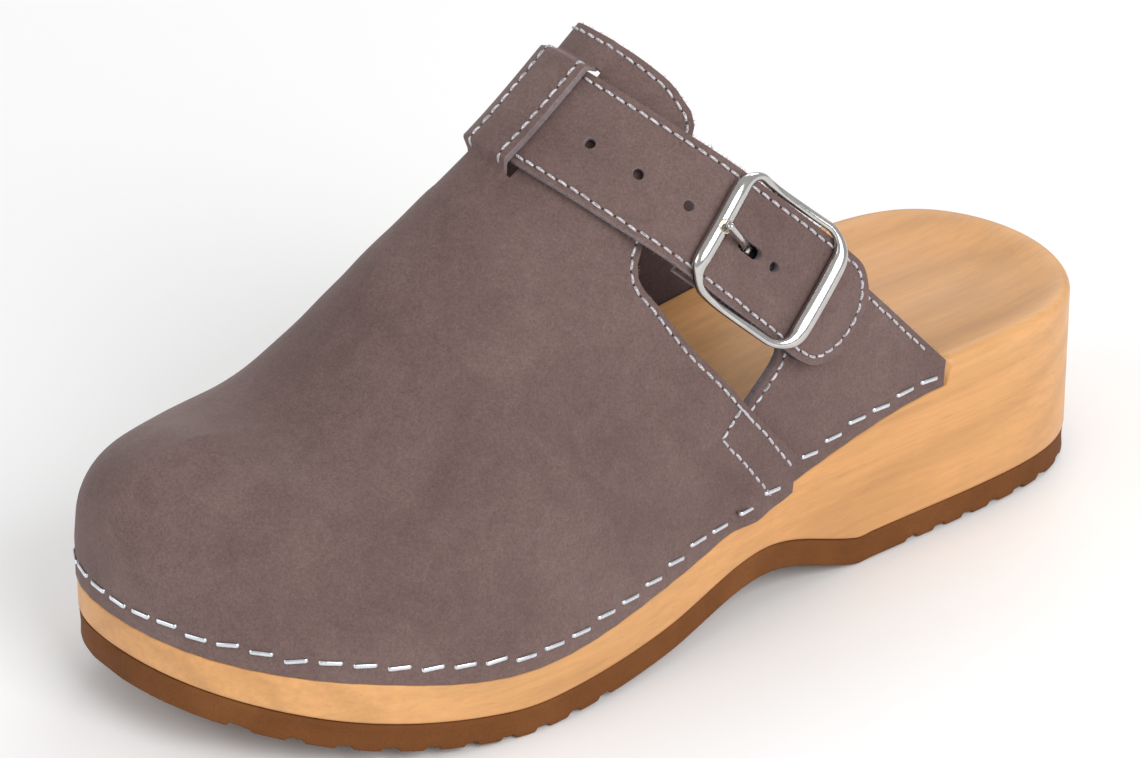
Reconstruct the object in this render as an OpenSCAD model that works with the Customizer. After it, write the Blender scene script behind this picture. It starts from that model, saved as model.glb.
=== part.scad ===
// Wooden clog for the left foot: a wooden base on a rubber outsole, a stapled
// upper of thick nubuck, and a strap that runs through two slots in the vamp
// and closes with a hook-and-loop patch under a buckle.
// Toe towards -Y, outer (buckle) side towards +X, floor at z = 0, millimetres.

/* [Wooden base] */
// length of the base from toe to heel
sole_len = 262; // [230:1:300]
// width of the base at the ball of the foot
ball_w = 101; // [88:1:116]
// width of the base at the heel
heel_w = 71; // [60:1:84]
// height of the heel rim above the floor
heel_h = 46.5; // [38:0.5:60]
// height of the rim above the floor at the ball
ball_h = 26.5; // [22:0.5:34]
// height of the rim above the floor at the toe
toe_h = 39; // [32:0.5:46]
// height of the wood's underside at the toe
toe_spring = 21; // [12:0.5:26]
// height of the wood's underside in the arch
arch_h = 17; // [12:0.5:24]
// how far the footbed is dished below its rim
dish = 4; // [1:0.5:8]

/* [Rubber outsole] */
// thickness of the outsole
rubber_t = 7.5; // [5:0.5:12]
// depth of the tread grooves
tread_depth = 2.5; // [1:0.5:4]
// distance between two tread grooves
tread_pitch = 9; // [6:0.5:14]
// width of one tread groove
tread_groove = 3.5; // [2:0.5:6]

/* [Upper] */
// thickness of the leather
leather_t = 2.2; // [1.6:0.1:3]
// height of the top of the toe box
toe_box_h = 67.5; // [58:0.5:78]
// height of the instep ridge at the tongue's end
tongue_h = 145; // [125:1:155]
// height of leather that is stapled to the wood
lap_h = 9.5; // [7:0.5:12]
// how far the vamp overlaps the quarters
vamp_lap = 12; // [8:1:18]

/* [Strap] */
// width of the strap
strap_w = 27; // [22:0.5:36]
// length of the strap's free end, from the slot to the tip
strap_free = 92; // [80:1:110]
// width of the leather bridge between the two slots
bridge_w = 15.5; // [10:0.5:22]
// distance between two strap holes
hole_pitch = 12.4; // [9:0.1:18]
// diameter of a strap hole
hole_d = 2.6; // [2:0.1:4]

/* [Buckle] */
// length of the buckle along the strap, bar centre to bar centre
buckle_len = 30.5; // [24:0.5:38]
// distance from the slot to the pivot bar
buckle_at = 53.5; // [46:0.5:60]
// distance from the front bar to the pivot bar
prong_reach = 10.3; // [8:0.1:14]
// thickness of a side rail
rail_d = 2; // [1.6:0.1:4]
// thickness of an end bar at its middle
end_bar_d = 3.8; // [3:0.1:6]
// diameter of the pivot bar under the strap
pivot_d = 1.9; // [1.5:0.1:2.5]
// diameter of the prong
prong_d = 2.1; // [1.5:0.1:3]

/* [Staples] */
// distance between two staples
staple_pitch = 7.6; // [6:0.2:12]
// width of a staple
staple_w = 5; // [3:0.1:7]
// thickness of the staple wire
staple_wire = 0.9; // [0.5:0.1:1.2]
// length of a staple's legs
staple_leg = 8; // [5:0.5:12]

/* [Hidden] */
gap = 0.42;              // clearance between pieces that pass over one another
seat_gap = 0.3;          // clearance between the leather and its rebate
ridge_x = -8;            // the instep ridge lies towards the inner side
arch_power = 0.62;       // below 1 fills out the sides of the upper
toe_power = 0.69;
lap_share = 0.12;        // share of v that the stapled band takes
step = 0.001;            // step of the numeric derivatives
stations = 96;           // points of the sole's outline
toe_depth = 22;          // plan distance from the toe's tip to the ridge's start
side_cells = 11;
front_cells = 25;        // columns of the vamp from the toe to front_y, each side
front_y = -4;
ramp_from = 1.5;         // the bridge starts to come down this far past the strap
quarter_front = 9;       // y of the quarter's hidden front corner
vamp_rear = quarter_front + vamp_lap;
quarter_rear = 71;
strap_foot = 60;         // y where the strap's centre line would meet the wood
slot_over = 5.5;         // a slot is this much longer than the strap, each end
slot_open = 1.2;
bridge_lift = 3.4;
strap_dip = 2 * leather_t + 2 * gap - bridge_lift;
pad_t = 1.3;
pad_w = strap_w - 5;
eye_r = pivot_d / 2 + seat_gap + 0.65;
strap_rise = gap + pivot_d / 2 + eye_r + gap;
loop_t = strap_rise - pad_t - gap - 0.1;
pad_ends = [buckle_at - 9, buckle_at - 3.5, buckle_at + 3.5, buckle_at + 28];
tip_r = 13;
hinge_at = 2.2;          // strap length where the free end starts

// ---- curves -------------------------------------------------------------
// closed cubic spline through the neighbourhood of its control points
function wrap(p, i) = p[(i + len(p)) % len(p)];
function spline(p, t) = let(
        f = (t - floor(t)) * len(p), i = floor(f), u = f - i, w = 1 - u)
    (w * w * w * wrap(p, i - 1) + (3 * u * u * u - 6 * u * u + 4) * wrap(p, i)
        + (3 * u + 3 * u * u - 3 * u * u * u + 1) * wrap(p, i + 1)
        + u * u * u * wrap(p, i + 2)) / 6;

// smooth curve through knots [x, value]
function knot(k, x) = max([0, for (i = [0:len(k) - 2]) if (x >= k[i][0]) i]);
function rise(k, i) = let(a = max(i - 1, 0), b = min(i + 1, len(k) - 1))
    (k[b][1] - k[a][1]) / (k[b][0] - k[a][0]);
function curve(k, x) = let(
        i = knot(k, x), d = k[i + 1][0] - k[i][0], u = (x - k[i][0]) / d,
        h = u * u * (3 - 2 * u))
    k[i][1] * (1 - h) + k[i + 1][1] * h
        + d * (u * (1 - u) * (1 - u) * rise(k, i) - u * u * (1 - u) * rise(k, i + 1));
function mix(a, b, u) = a + (b - a) * u;
function clamp(u) = min(max(u, 0), 1);
function ease(u) = let(c = clamp(u)) c * c * (3 - 2 * c);
function unit(v) = v / norm(v);

// ---- the sole's outline and heights ---------------------------------------
// signed station s: 0 at the toe, positive along the outer side, 1 at the heel
outline_points = [
    [-0.12 * ball_w, -0.515 * sole_len], [0.2 * ball_w, -0.485 * sole_len],
    [0.426 * ball_w, -0.374 * sole_len], [0.525 * ball_w, -0.229 * sole_len],
    [0.468 * ball_w, -0.072 * sole_len], [0.555 * heel_w, 0.072 * sole_len],
    [0.53 * heel_w, 0.217 * sole_len], [0.525 * heel_w, 0.359 * sole_len],
    [0.445 * heel_w, 0.469 * sole_len], [0, 0.519 * sole_len],
    [-0.455 * heel_w, 0.469 * sole_len], [-0.52 * heel_w, 0.359 * sole_len],
    [-0.48 * heel_w, 0.217 * sole_len], [-0.465 * heel_w, 0.072 * sole_len],
    [-0.416 * ball_w, -0.072 * sole_len], [-0.515 * ball_w, -0.229 * sole_len],
    [-0.495 * ball_w, -0.374 * sole_len], [-0.376 * ball_w, -0.494 * sole_len]];
function outline(s) = spline(outline_points, s / 2);
function outward(s) = let(d = outline(s + step) - outline(s - step)) unit([d[1], -d[0]]);
function inset(s, d) = outline(s) - d * outward(s);
side_table = [for (i = [0:100]) [outline(i / 100)[1], i / 100]];
function station(y) = lookup(y, side_table);

under_knots = [[-0.505 * sole_len, toe_spring], [-0.38 * sole_len, mix(rubber_t, toe_spring, 0.36)],
    [-0.25 * sole_len, rubber_t], [-0.2 * sole_len, rubber_t],
    [-0.076 * sole_len, mix(rubber_t, arch_h, 0.33)], [0.055 * sole_len, arch_h],
    [0.17 * sole_len, rubber_t], [0.19 * sole_len, rubber_t], [0.52 * sole_len, rubber_t]];
rim_knots = [[-0.505 * sole_len, toe_h], [-0.38 * sole_len, mix(ball_h, toe_h, 0.48)],
    [-0.23 * sole_len, ball_h], [-0.076 * sole_len, mix(ball_h, heel_h, 0.26)],
    [0.08 * sole_len, mix(ball_h, heel_h, 0.7)], [0.2 * sole_len, mix(ball_h, heel_h, 0.93)],
    [0.29 * sole_len, heel_h], [0.52 * sole_len, heel_h]];
function under_z(y) = curve(under_knots, y);
function rim_z(y) = curve(rim_knots, y);
function edge_z(y) = rim_z(y) - mix(lap_h, 0.7 * lap_h, ease((y - 20) / 50));

// ---- the upper's surface ---------------------------------------------------
// s as above; v is 0 at the leather's lower edge, 1 on the instep ridge, and
// past 1 it runs down the other side
ridge_knots = [[-111, toe_box_h], [-85, toe_box_h], [-55, mix(toe_box_h, tongue_h, 0.37)],
    [-20, mix(toe_box_h, tongue_h, 0.675)], [12, tongue_h]];
function ridge_y(s) = -111 + 53 * s + 126 * s * s;
function crest(s) = let(
        y = outline(abs(s))[1], front = 1 - clamp((y + 0.507 * sole_len) / 60))
    [ridge_x, y + toe_depth * front * front];
function skin(s, v) = v > 1 ? skin(-s, 2 - v) :
    let(a = outline(s), c = crest(s),
        lean = ridge_y(abs(s)) - c[1],
        q = 90 * pow(max((v - lap_share) / (1 - lap_share), 0), 1.5),
        h = pow(sin(q), mix(toe_power, arch_power, ease(abs(s) / 0.5))),
        p = c + (a - c) * cos(q),
        z = v < lap_share
            ? mix(edge_z(a[1]), rim_z(a[1]), v / lap_share)
            : mix(rim_z(a[1]), curve(ridge_knots, ridge_y(abs(s))), h))
    [p[0], p[1] + lean * h, z];
function along_s(s, v) = (skin(s + step, v) - skin(s - step, v)) / (2 * step);
function along_v(s, v) = (skin(s, v) - skin(s, v - step)) / step;
function facing(s, v) = v > 1 ? facing(-s, 2 - v) :
    let(w = min(v, 0.99)) unit(cross(along_s(s, w), along_v(s, w)));
function lifted(s, v, o) = skin(s, v) + o * facing(s, v);

// ---- a sheet of leather from a grid of points ---------------------------------
// at(i, j, k) is a point of the outer (k = 0) or inner (k = 1) face; open(i, j)
// says that a cell is cut out; fold joins column i to column n - i at the ridge
module sheet(n, m, at, open = function(i, j) false, fold = false) {
    rows = m + 1;
    size = (n + 1) * rows;
    id = function(k, c) let(i = fold && c[1] == m && c[0] > n / 2 ? n - c[0] : c[0])
        k * size + i * rows + c[1];
    gone = function(i, j) i < 0 || i >= n || j < 0 || (j >= m && !fold) ? true
        : j >= m ? open(n - 1 - i, m - 1) : open(i, j);
    cells = [for (i = [0:n - 1]) for (j = [0:m - 1]) if (!open(i, j)) [i, j]];
    polyhedron(
        points = [for (k = [0, 1]) for (i = [0:n]) for (j = [0:m]) at(i, j, k)],
        faces = [for (c = cells) let(
                i = c[0], j = c[1],
                ring = [[i, j], [i, j + 1], [i + 1, j + 1], [i + 1, j]],
                next = [gone(i - 1, j), gone(i, j + 1), gone(i + 1, j), gone(i, j - 1)])
            each concat(
                halves([for (q = [0:3]) id(0, ring[q])]),
                halves([for (q = [3:-1:0]) id(1, ring[q])]),
                [for (q = [0:3]) if (next[q]) let(a = ring[q], b = ring[(q + 1) % 4])
                    each halves([id(0, b), id(0, a), id(1, a), id(1, b)])])],
        convexity = 8);
}

function halves(f) = [[f[0], f[1], f[2]], [f[0], f[2], f[3]]];

// a solid from closed rings of points, capped with strips across its length
module loft(rings) {
    n = len(rings[0]);
    last = (len(rings) - 1) * n;
    strip = [for (i = [0:n / 2 - 1]) i == 0 ? [0, 1, n - 1]
        : i == n / 2 - 1 ? [i, i + 1, n - i] : [i, i + 1, n - i - 1, n - i]];
    polyhedron(
        points = [for (r = rings) each r],
        faces = concat(
            strip,
            [for (f = strip) [for (i = [len(f) - 1:-1:0]) f[i] + last]],
            [for (k = [0:len(rings) - 2]) for (i = [0:n - 1]) let(a = k * n, b = (i + 1) % n)
                each halves([a + i, a + n + i, a + n + b, a + b])]),
        convexity = 6);
}

// places children in the frame of a point p with axes tangent t and normal n
module at_frame(p, t, n) {
    w = cross(n, t);
    multmatrix([[t[0], w[0], n[0], p[0]], [t[1], w[1], n[1], p[1]],
        [t[2], w[2], n[2], p[2]], [0, 0, 0, 1]]) children();
}

// ---- wooden base and outsole ----------------------------------------------------
rebate = leather_t + seat_gap;
function ring(d, z) = [for (i = [0:stations - 1]) let(
        s = i < stations / 2 ? 2 * i / stations : 2 * i / stations - 2,
        p = inset(s, d(s)))
    [p[0], p[1], z(s)]];
function shrink(share, z) = [for (i = [0:stations - 1]) let(
        s = i < stations / 2 ? 2 * i / stations : 2 * i / stations - 2,
        p = outline(s), m = (p[0] + outline(-s)[0]) / 2, y = p[1] * mix(0.72, 1, share))
    [mix(m, p[0], share), y, z(y)]];
// 1 where leather lies in the rebate, 0 around the bare heel
function covered(s) = outline(s)[1] < quarter_rear + 2 ? 1 : 0;

module wooden_sole() {
    round_r = 1.2;
    color([0.87, 0.66, 0.42])
    loft([
        shrink(0.5, function(y) under_z(y)),
        ring(function(s) 1, function(s) under_z(outline(s)[1])),
        ring(function(s) 0, function(s) under_z(outline(s)[1]) + 1),
        ring(function(s) 0, function(s) let(y = outline(s)[1])
            mix(rim_z(y) - 2 * round_r, edge_z(y) - seat_gap, covered(s))),
        ring(function(s) mix(0.35 * round_r, rebate, covered(s)), function(s) let(y = outline(s)[1])
            mix(rim_z(y) - round_r, edge_z(y) - seat_gap + 0.02, covered(s))),
        ring(function(s) mix(round_r, rebate, covered(s)),
            function(s) rim_z(outline(s)[1]) - mix(0.3, 1, covered(s))),
        ring(function(s) rebate + 1.5, function(s) rim_z(outline(s)[1])),
        ring(function(s) 8, function(s) rim_z(outline(s)[1]) - 0.25 * dish),
        shrink(0.55, function(y) rim_z(y) - 0.85 * dish),
        shrink(0.2, function(y) rim_z(y) - dish)]);
}

side_steps = 56;
function side_y(i) = mix(-0.54 * sole_len, 0.54 * sole_len, i / side_steps);
module side_profile(low, high) {
    rotate([90, 0, 90])
        linear_extrude(1.4 * ball_w, center = true)
            polygon([for (i = [0:side_steps]) [side_y(i), low(side_y(i))],
                for (i = [side_steps:-1:0]) [side_y(i), high(side_y(i))]]);
}
module plan(d, h) {
    linear_extrude(h)
        polygon([for (p = ring(function(s) d, function(s) 0)) [p[0], p[1]]]);
}

module rubber_outsole() {
    glue = 0.2;
    color([0.5, 0.33, 0.18])
    difference() {
        intersection() {
            plan(0.3, 60);
            side_profile(function(y) under_z(y) - rubber_t, function(y) under_z(y) - glue);
        }
        for (y = [-0.46 * sole_len:tread_pitch:-0.12 * sole_len])
            tread(y);
        for (y = [0.24 * sole_len:tread_pitch:0.47 * sole_len])
            tread(y);
    }
}
module tread(y) {
    z = under_z(y) - rubber_t;
    tilt = atan((under_z(y + 1) - under_z(y - 1)) / 2);
    translate([0, y, z])
        rotate([tilt, 0, 0])
            cube([1.4 * ball_w, tread_groove, 2 * tread_depth], center = true);
}

// ---- vamp ------------------------------------------------------------------------
// the rear edge runs up the side, then swings back to the tongue's end
tongue_foot = 0.327 * sole_len;
vamp_edge_knots = [[0, vamp_rear - 1], [0.27, vamp_rear + 2], [0.535, vamp_rear + 10.5],
    [0.63, vamp_rear + 19], [0.71, tongue_foot - 9], [0.77, tongue_foot - 2],
    [0.85, tongue_foot], [1, tongue_foot]];
function vamp_edge(v) = station(curve(vamp_edge_knots, v));
function bridge_v(s, d) = let(q = acos(min(d / norm(outline(s) - crest(s)), 0.9)))
    mix(lap_share, 1, pow(q / 90, 1 / 1.5));
strap_s = station(strap_foot);

// how far along the strap's width a ridge point lies, and the level changes there
function ridge_run(s) = sign(s - strap_s) * norm(skin(s, 0.99) - skin(strap_s, 0.99));
ridge_table = [for (i = [0:50]) let(s = 0.4 + i / 100) [ridge_run(s), s]];
function on_strap(s, over) = ease((strap_w / 2 + over - abs(ridge_run(abs(s)))) / (over - ramp_from));
function ridge_s(d) = lookup(d, ridge_table);
function beside_ridge(v, s) = ease((v - 0.62) / (bridge_v(s, bridge_w / 2) - 0.62));
function vamp_level(s, v, bridge) = let(
        y = outline(abs(s))[1],
        lap = ease((y - quarter_front + 8) / 7) * (1 - ease((v - 0.32) / 0.12)))
    lap * (leather_t + gap)
        + (bridge ? bridge_lift * on_strap(s, slot_over)
            : -strap_dip * on_strap(s, 3 * slot_over) * beside_ridge(v, s));

module vamp() {
    front_s = station(front_y);
    edge_s = vamp_edge(1);
    over = strap_w / 2 + slot_over;
    full = strap_w / 2 + ramp_from;
    // columns behind the front block, with one at each end of the slots and ramps
    rear_s = concat(
        [for (k = [1:4]) mix(front_s, ridge_s(-over), k / 4)],
        [for (k = [0:6]) mix(ridge_s(-full), ridge_s(full), k / 6)],
        [ridge_s(over), mix(ridge_s(over), edge_s, 0.5), edge_s]);
    n = 2 * (front_cells + len(rear_s));
    m = side_cells + 4;
    v_of = function(s, j)
        j == 0 ? 0
        : j <= side_cells + 1
            ? mix(lap_share, bridge_v(s, bridge_w / 2 + slot_open), (j - 1) / side_cells)
        : mix(bridge_v(s, bridge_w / 2), 1, (j - side_cells - 2) / 2);
    s_of = function(i, j) let(c = abs(i - n / 2))
        sign(i - n / 2) * (c <= front_cells ? front_s * c / front_cells
            : mix(front_s, vamp_edge(v_of(strap_s, j)),
                (rear_s[c - front_cells - 1] - front_s) / (edge_s - front_s)));
    slot = function(i, j) let(c = abs(i + 0.5 - n / 2) - 0.5 - front_cells)
        j == side_cells + 1 && c >= 4 && c < len(rear_s) - 2;
    color([0.47, 0.41, 0.38])
    sheet(n, m, function(i, j, k) let(
            s = s_of(i, j), v = v_of(s, j),
            o = vamp_level(s, v, j > side_cells + 1))
        lifted(s, v, o - k * leather_t), slot, true);
}

// ---- quarters -----------------------------------------------------------------------
quarter_top = 0.57;
function quarter_front_s(v) = station(mix(quarter_front, strap_foot - 0.62 * strap_w, ease((v - 0.2) / 0.12)));
function quarter_rear_s(v) = station(mix(quarter_rear, strap_foot + 0.52 * strap_w, ease(v / 0.4)));
module quarter(side) {
    n = 12;
    m = 14;
    v_of = function(j) j == 0 ? 0 : mix(lap_share, quarter_top, (j - 1) / (m - 1));
    color([0.44, 0.38, 0.36])
    sheet(n, m, function(i, j, k) let(
            v = v_of(j),
            a = side > 0 ? quarter_front_s(v) : -quarter_rear_s(v),
            b = side > 0 ? quarter_rear_s(v) : -quarter_front_s(v))
        lifted(mix(a, b, i / n), v, -k * leather_t));
}
module quarter_lateral() {
    quarter(1);
}
module quarter_medial() {
    quarter(-1);
}

// ---- strap ----------------------------------------------------------------------------
// strap length l is 0 at the outer slot, positive towards the tip; w is across
slot_v = bridge_v(strap_s, bridge_w / 2 + slot_open / 2);
v_steps = [for (i = [0:80]) mix(lap_share, 2 - lap_share, i / 80)];
function run(i) = i == 0 ? 0 : norm(skin(strap_s, v_steps[i]) - skin(strap_s, v_steps[i - 1]));
function running(i, sum) = i > 80 ? [] : let(now = sum + run(i)) concat([now], running(i + 1, now));
lengths = running(0, 0);
slot_length = lookup(slot_v, [for (i = [0:80]) [v_steps[i], lengths[i]]]);
length_table = [for (i = [80:-1:0]) [slot_length - lengths[i], v_steps[i]]];
function strap_v(l) = lookup(l, length_table);
function strap_map(l, w) = let(
        v = strap_v(l), ss = along_s(strap_s, v), sv = along_v(strap_s, v),
        n = facing(strap_s, v), across = unit(cross(unit(sv), n)),
        e = ss * ss, f = ss * sv, g = sv * sv, p = across * ss, det = e * g - f * f)
    [strap_s + w * p * g / det, v - w * p * f / det];
bridge_run = 2 * (lookup(1, [for (i = [0:80]) [v_steps[i], lengths[i]]]) - slot_length);
function strap_level(l) = let(
        past = max(l, -l - bridge_run, 0),
        over = ease((l - 18) / 24) * (1 - 0.55 * ease((l - pad_ends[3]) / 9)))
    gap - strap_dip * (1 - ease(past / 20)) + over * (strap_rise - gap);
function strap_at(l, w, o) = let(c = strap_map(l, w))
    lifted(c[0], c[1], strap_level(l) + o);
function strap_frame(l) = let(
        p = strap_at(l, 0, 0), t = unit(strap_at(l + 1, 0, 0) - strap_at(l - 1, 0, 0)),
        w = unit(strap_at(l, 2, 0) - strap_at(l, -2, 0)), n = unit(cross(t, w)))
    [p, t, n * sign(n * facing(strap_s, strap_v(l)))];
module on_strap_frame(l) {
    f = strap_frame(l);
    at_frame(f[0], f[1], f[2]) children();
}
module strap_piece(a, b, n, half) {
    m = 8;
    sheet(n, m, function(i, j, k) let(l = mix(a, b, i / n))
        strap_at(l, mix(-half(l), half(l), j / m), (1 - k) * leather_t));
}
medial_end = -104;
prong_slot = [-5.6, 3];
function tip_half(l) = let(u = max(0, (l - strap_free + tip_r) / (tip_r + 0.3)))
    mix(0.35, 1, sqrt(1 - u * u)) * strap_w / 2;
module strap_anchor() {
    color([0.5, 0.43, 0.4])
        strap_piece(medial_end, hinge_at - 0.5, 32, function(l) strap_w / 2);
}
module strap_end() {
    // holes at equal steps; the one over the pivot bar is a slot for the prong
    color([0.5, 0.43, 0.4])
    difference() {
        strap_piece(hinge_at, strap_free, 36, function(l) tip_half(l));
        for (k = [0, 1, 2, 4])
            on_strap_frame(first_hole + k * hole_pitch)
                cylinder(d = hole_d, h = 4 * leather_t, center = true, $fn = 32);
        on_strap_frame(buckle_at)
            translate([0, 0, -leather_t]) {
                for (x = prong_slot)
                    translate([x, 0, 0])
                        cylinder(d = prong_d + 2 * gap, h = 4 * leather_t, $fn = 32);
                translate([prong_slot[0], -prong_d / 2 - gap, 0])
                    cube([prong_slot[1] - prong_slot[0], prong_d + 2 * gap, 4 * leather_t]);
            }
    }
}
first_hole = 11;

// ---- hook-and-loop closure ------------------------------------------------------------
module hook_pad() {
    color([0.1, 0.1, 0.1])
    for (e = [[pad_ends[0], pad_ends[1]], [pad_ends[2], pad_ends[3]]])
        sheet(4, 4, function(i, j, k) let(
                l = mix(e[0], e[1], i / 4), w = mix(-pad_w / 2, pad_w / 2, j / 4))
            strap_at(l, w, -strap_level(l) + 0.05 + (1 - k) * pad_t));
}
module loop_pad() {
    color([0.07, 0.07, 0.07])
    sheet(5, 4, function(i, j, k) let(
            l = mix(pad_ends[2], pad_ends[3], i / 5), w = mix(-pad_w / 2, pad_w / 2, j / 4))
        strap_at(l, w, -0.05 - k * loop_t));
}

// ---- buckle -------------------------------------------------------------------------------
// its pieces follow the strap: l along it, w across it, o out from its inner face
front_at = buckle_at - prong_reach;
rear_at = front_at + buckle_len;
rail_w = strap_w / 2 + gap + rail_d / 2;
rail_o = leather_t + gap + rail_d / 2;
rail_low = -0.2;
bar_o = leather_t + gap + end_bar_d / 2;
pivot_o = -gap - pivot_d / 2;
knee = strap_at(buckle_at - 3.4, 0, leather_t + gap + prong_d / 2);
tip = strap_at(front_at - 0.8, 0, bar_o + (end_bar_d / 2 + gap + prong_d / 2) / cos(36) + 0.6);
pivot = strap_at(buckle_at, 0, pivot_o);

ball_d = prong_d + 0.16; // a little proud of the rods that meet in it

module rod(a, b, d, fn = 24) {
    v = b - a;
    translate(a)
        rotate([0, acos(v[2] / norm(v)), atan2(v[1], v[0])])
            cylinder(d = d, h = norm(v), $fn = fn);
}
module ball(p, d) {
    translate(p)
        sphere(d = d, $fn = 24);
}
// the frame is one closed ring of round section, thick in the end bars
ring_steps = 48;
ring_sides = 12;
function ring_place(u) = let(
        a = 360 * u, c = cos(a), d = sin(a),
        m = pow(pow(abs(c), 6) + pow(abs(d), 6), -1 / 6))
    [mix(front_at, rear_at, 0.5 + 0.5 * m * c), rail_w * m * d];
function ring_bar(u) = let(p = ring_place(u), mid = 1 - abs(p[1]) / rail_w)
    abs(cos(360 * u)) > 0.75 ? ease(2 * mid) : 0;
function ring_point(u) = let(
        p = ring_place(u), away = p[0] - buckle_at,
        end = away < 0 ? -away / prong_reach : away / (buckle_len - prong_reach),
        o = mix(mix(rail_low, rail_o, ease(1.3 * end)), bar_o, ring_bar(u)))
    strap_at(p[0], p[1], o);
module buckle_frame() {
    color([0.8, 0.8, 0.82])
    sweep([for (i = [0:ring_steps - 1]) ring_point(i / ring_steps)],
        [for (i = [0:ring_steps - 1]) mix(rail_d, end_bar_d, ring_bar(i / ring_steps)) / 2]);
}
module sweep(path, radius) {
    n = len(path);
    m = ring_sides;
    up = strap_frame(buckle_at)[2];
    polyhedron(
        points = [for (i = [0:n - 1]) let(
                t = unit(path[(i + 1) % n] - path[(i + n - 1) % n]),
                a = unit(cross(t, up)), b = cross(a, t))
            for (k = [0:m - 1])
                path[i] + radius[i] * (cos(360 * k / m) * a + sin(360 * k / m) * b)],
        faces = [for (i = [0:n - 1]) for (k = [0:m - 1]) let(
                j = (i + 1) % n, q = (k + 1) % m)
            each halves([i * m + k, i * m + q, j * m + q, j * m + k])],
        convexity = 6);
}
module pivot_bar() {
    color([0.7, 0.7, 0.72])
    on_strap_frame(buckle_at)
        rod([0, -rail_w, pivot_o], [0, rail_w, pivot_o], pivot_d, 32);
}
module prong() {
    color([0.85, 0.85, 0.87])
    difference() {
        union() {
            on_strap_frame(buckle_at)
                translate([0, 0, pivot_o])
                    rotate([90, 0, 0])
                        cylinder(r = eye_r, h = prong_d, center = true, $fn = 32);
            rod(pivot, knee, prong_d);
            rod(knee, tip, prong_d);
            ball(knee, ball_d);
            ball(tip, ball_d);
        }
        on_strap_frame(buckle_at)
            translate([0, 0, pivot_o])
                rotate([90, 0, 0])
                    cylinder(d = pivot_d + 2 * seat_gap, h = 2 * prong_d, center = true, $fn = 32);
    }
}

// ---- staples ------------------------------------------------------------------------------
edge_run = [for (side = [-1, 1]) sum_runs([for (i = [1:100])
    norm(outline(side * i / 100) - outline(side * (i - 1) / 100))], 0, 0)];
function sum_runs(r, i, sum) = i >= len(r) ? [[sum, 1]]
    : concat([[sum, i / 100]], sum_runs(r, i + 1, sum + r[i]));
function staple_s(side, k) = side * lookup((k + 0.5) * staple_pitch, edge_run[side > 0 ? 1 : 0]);
module staple(s, level) {
    v = lap_share / 2;
    n = facing(s, v);
    t = unit(cross([0, 0, 1], n));
    at_frame(skin(s, v) + (level + 0.05) * n, t, n) {
        translate([-staple_w / 2, -staple_wire / 2, 0])
            cube([staple_w, staple_wire, 0.7 * staple_wire]);
        for (x = [-staple_w / 2, staple_w / 2 - 0.6 * staple_wire])
            translate([x, -staple_wire / 2, -staple_leg])
                cube([0.6 * staple_wire, staple_wire, staple_leg + 0.1]);
    }
}
module staple_row(side, from_y, to_y) {
    for (k = [0:60]) {
        s = staple_s(side, k);
        y = outline(s)[1];
        if (y > from_y && y < to_y && k * staple_pitch < sole_len)
            staple(s, to_y > vamp_rear ? 0 : vamp_level(s, lap_share / 2, false));
    }
}
module vamp_staples() {
    color([0.75, 0.77, 0.8]) {
        staple_row(1, -sole_len, vamp_rear - staple_w / 2);
        staple_row(-1, -sole_len, vamp_rear - staple_w / 2);
    }
}
module quarter_staples_lateral() {
    color([0.75, 0.77, 0.8])
        staple_row(1, vamp_rear + staple_w / 2, quarter_rear - staple_w / 2);
}
module quarter_staples_medial() {
    color([0.75, 0.77, 0.8])
        staple_row(-1, vamp_rear + staple_w / 2, quarter_rear - staple_w / 2);
}

// the piece to build, or all

wooden_sole();
rubber_outsole();
vamp();
quarter_lateral();
quarter_medial();
strap_anchor();
strap_end();
hook_pad();
loop_pad();
buckle_frame();
pivot_bar();
prong();
vamp_staples();
quarter_staples_lateral();
quarter_staples_medial();
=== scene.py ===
import math

import bpy
import numpy as np
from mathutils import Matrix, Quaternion, Vector


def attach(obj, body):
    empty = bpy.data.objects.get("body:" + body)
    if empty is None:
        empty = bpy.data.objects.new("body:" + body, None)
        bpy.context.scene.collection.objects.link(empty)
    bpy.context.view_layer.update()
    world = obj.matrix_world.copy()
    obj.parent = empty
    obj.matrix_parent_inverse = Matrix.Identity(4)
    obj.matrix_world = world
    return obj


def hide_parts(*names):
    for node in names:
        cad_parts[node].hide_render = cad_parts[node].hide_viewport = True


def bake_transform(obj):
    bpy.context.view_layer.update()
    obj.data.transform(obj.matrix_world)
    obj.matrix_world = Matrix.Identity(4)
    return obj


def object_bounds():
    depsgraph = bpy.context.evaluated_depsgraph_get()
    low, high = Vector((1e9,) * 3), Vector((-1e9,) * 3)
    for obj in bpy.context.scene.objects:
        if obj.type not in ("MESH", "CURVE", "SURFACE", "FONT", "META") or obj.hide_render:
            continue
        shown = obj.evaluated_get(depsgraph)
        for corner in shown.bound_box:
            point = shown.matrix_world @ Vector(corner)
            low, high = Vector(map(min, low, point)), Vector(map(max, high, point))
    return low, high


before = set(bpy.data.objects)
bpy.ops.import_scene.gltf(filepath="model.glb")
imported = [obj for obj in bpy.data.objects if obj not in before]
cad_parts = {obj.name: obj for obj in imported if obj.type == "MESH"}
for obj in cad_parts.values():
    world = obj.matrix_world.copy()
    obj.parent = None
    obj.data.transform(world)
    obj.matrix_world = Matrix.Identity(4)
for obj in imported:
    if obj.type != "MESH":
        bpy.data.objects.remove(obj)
# Looks of a wooden clog: wood, rubber, nubuck, thread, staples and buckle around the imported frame.
cad_low, cad_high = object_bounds()

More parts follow.
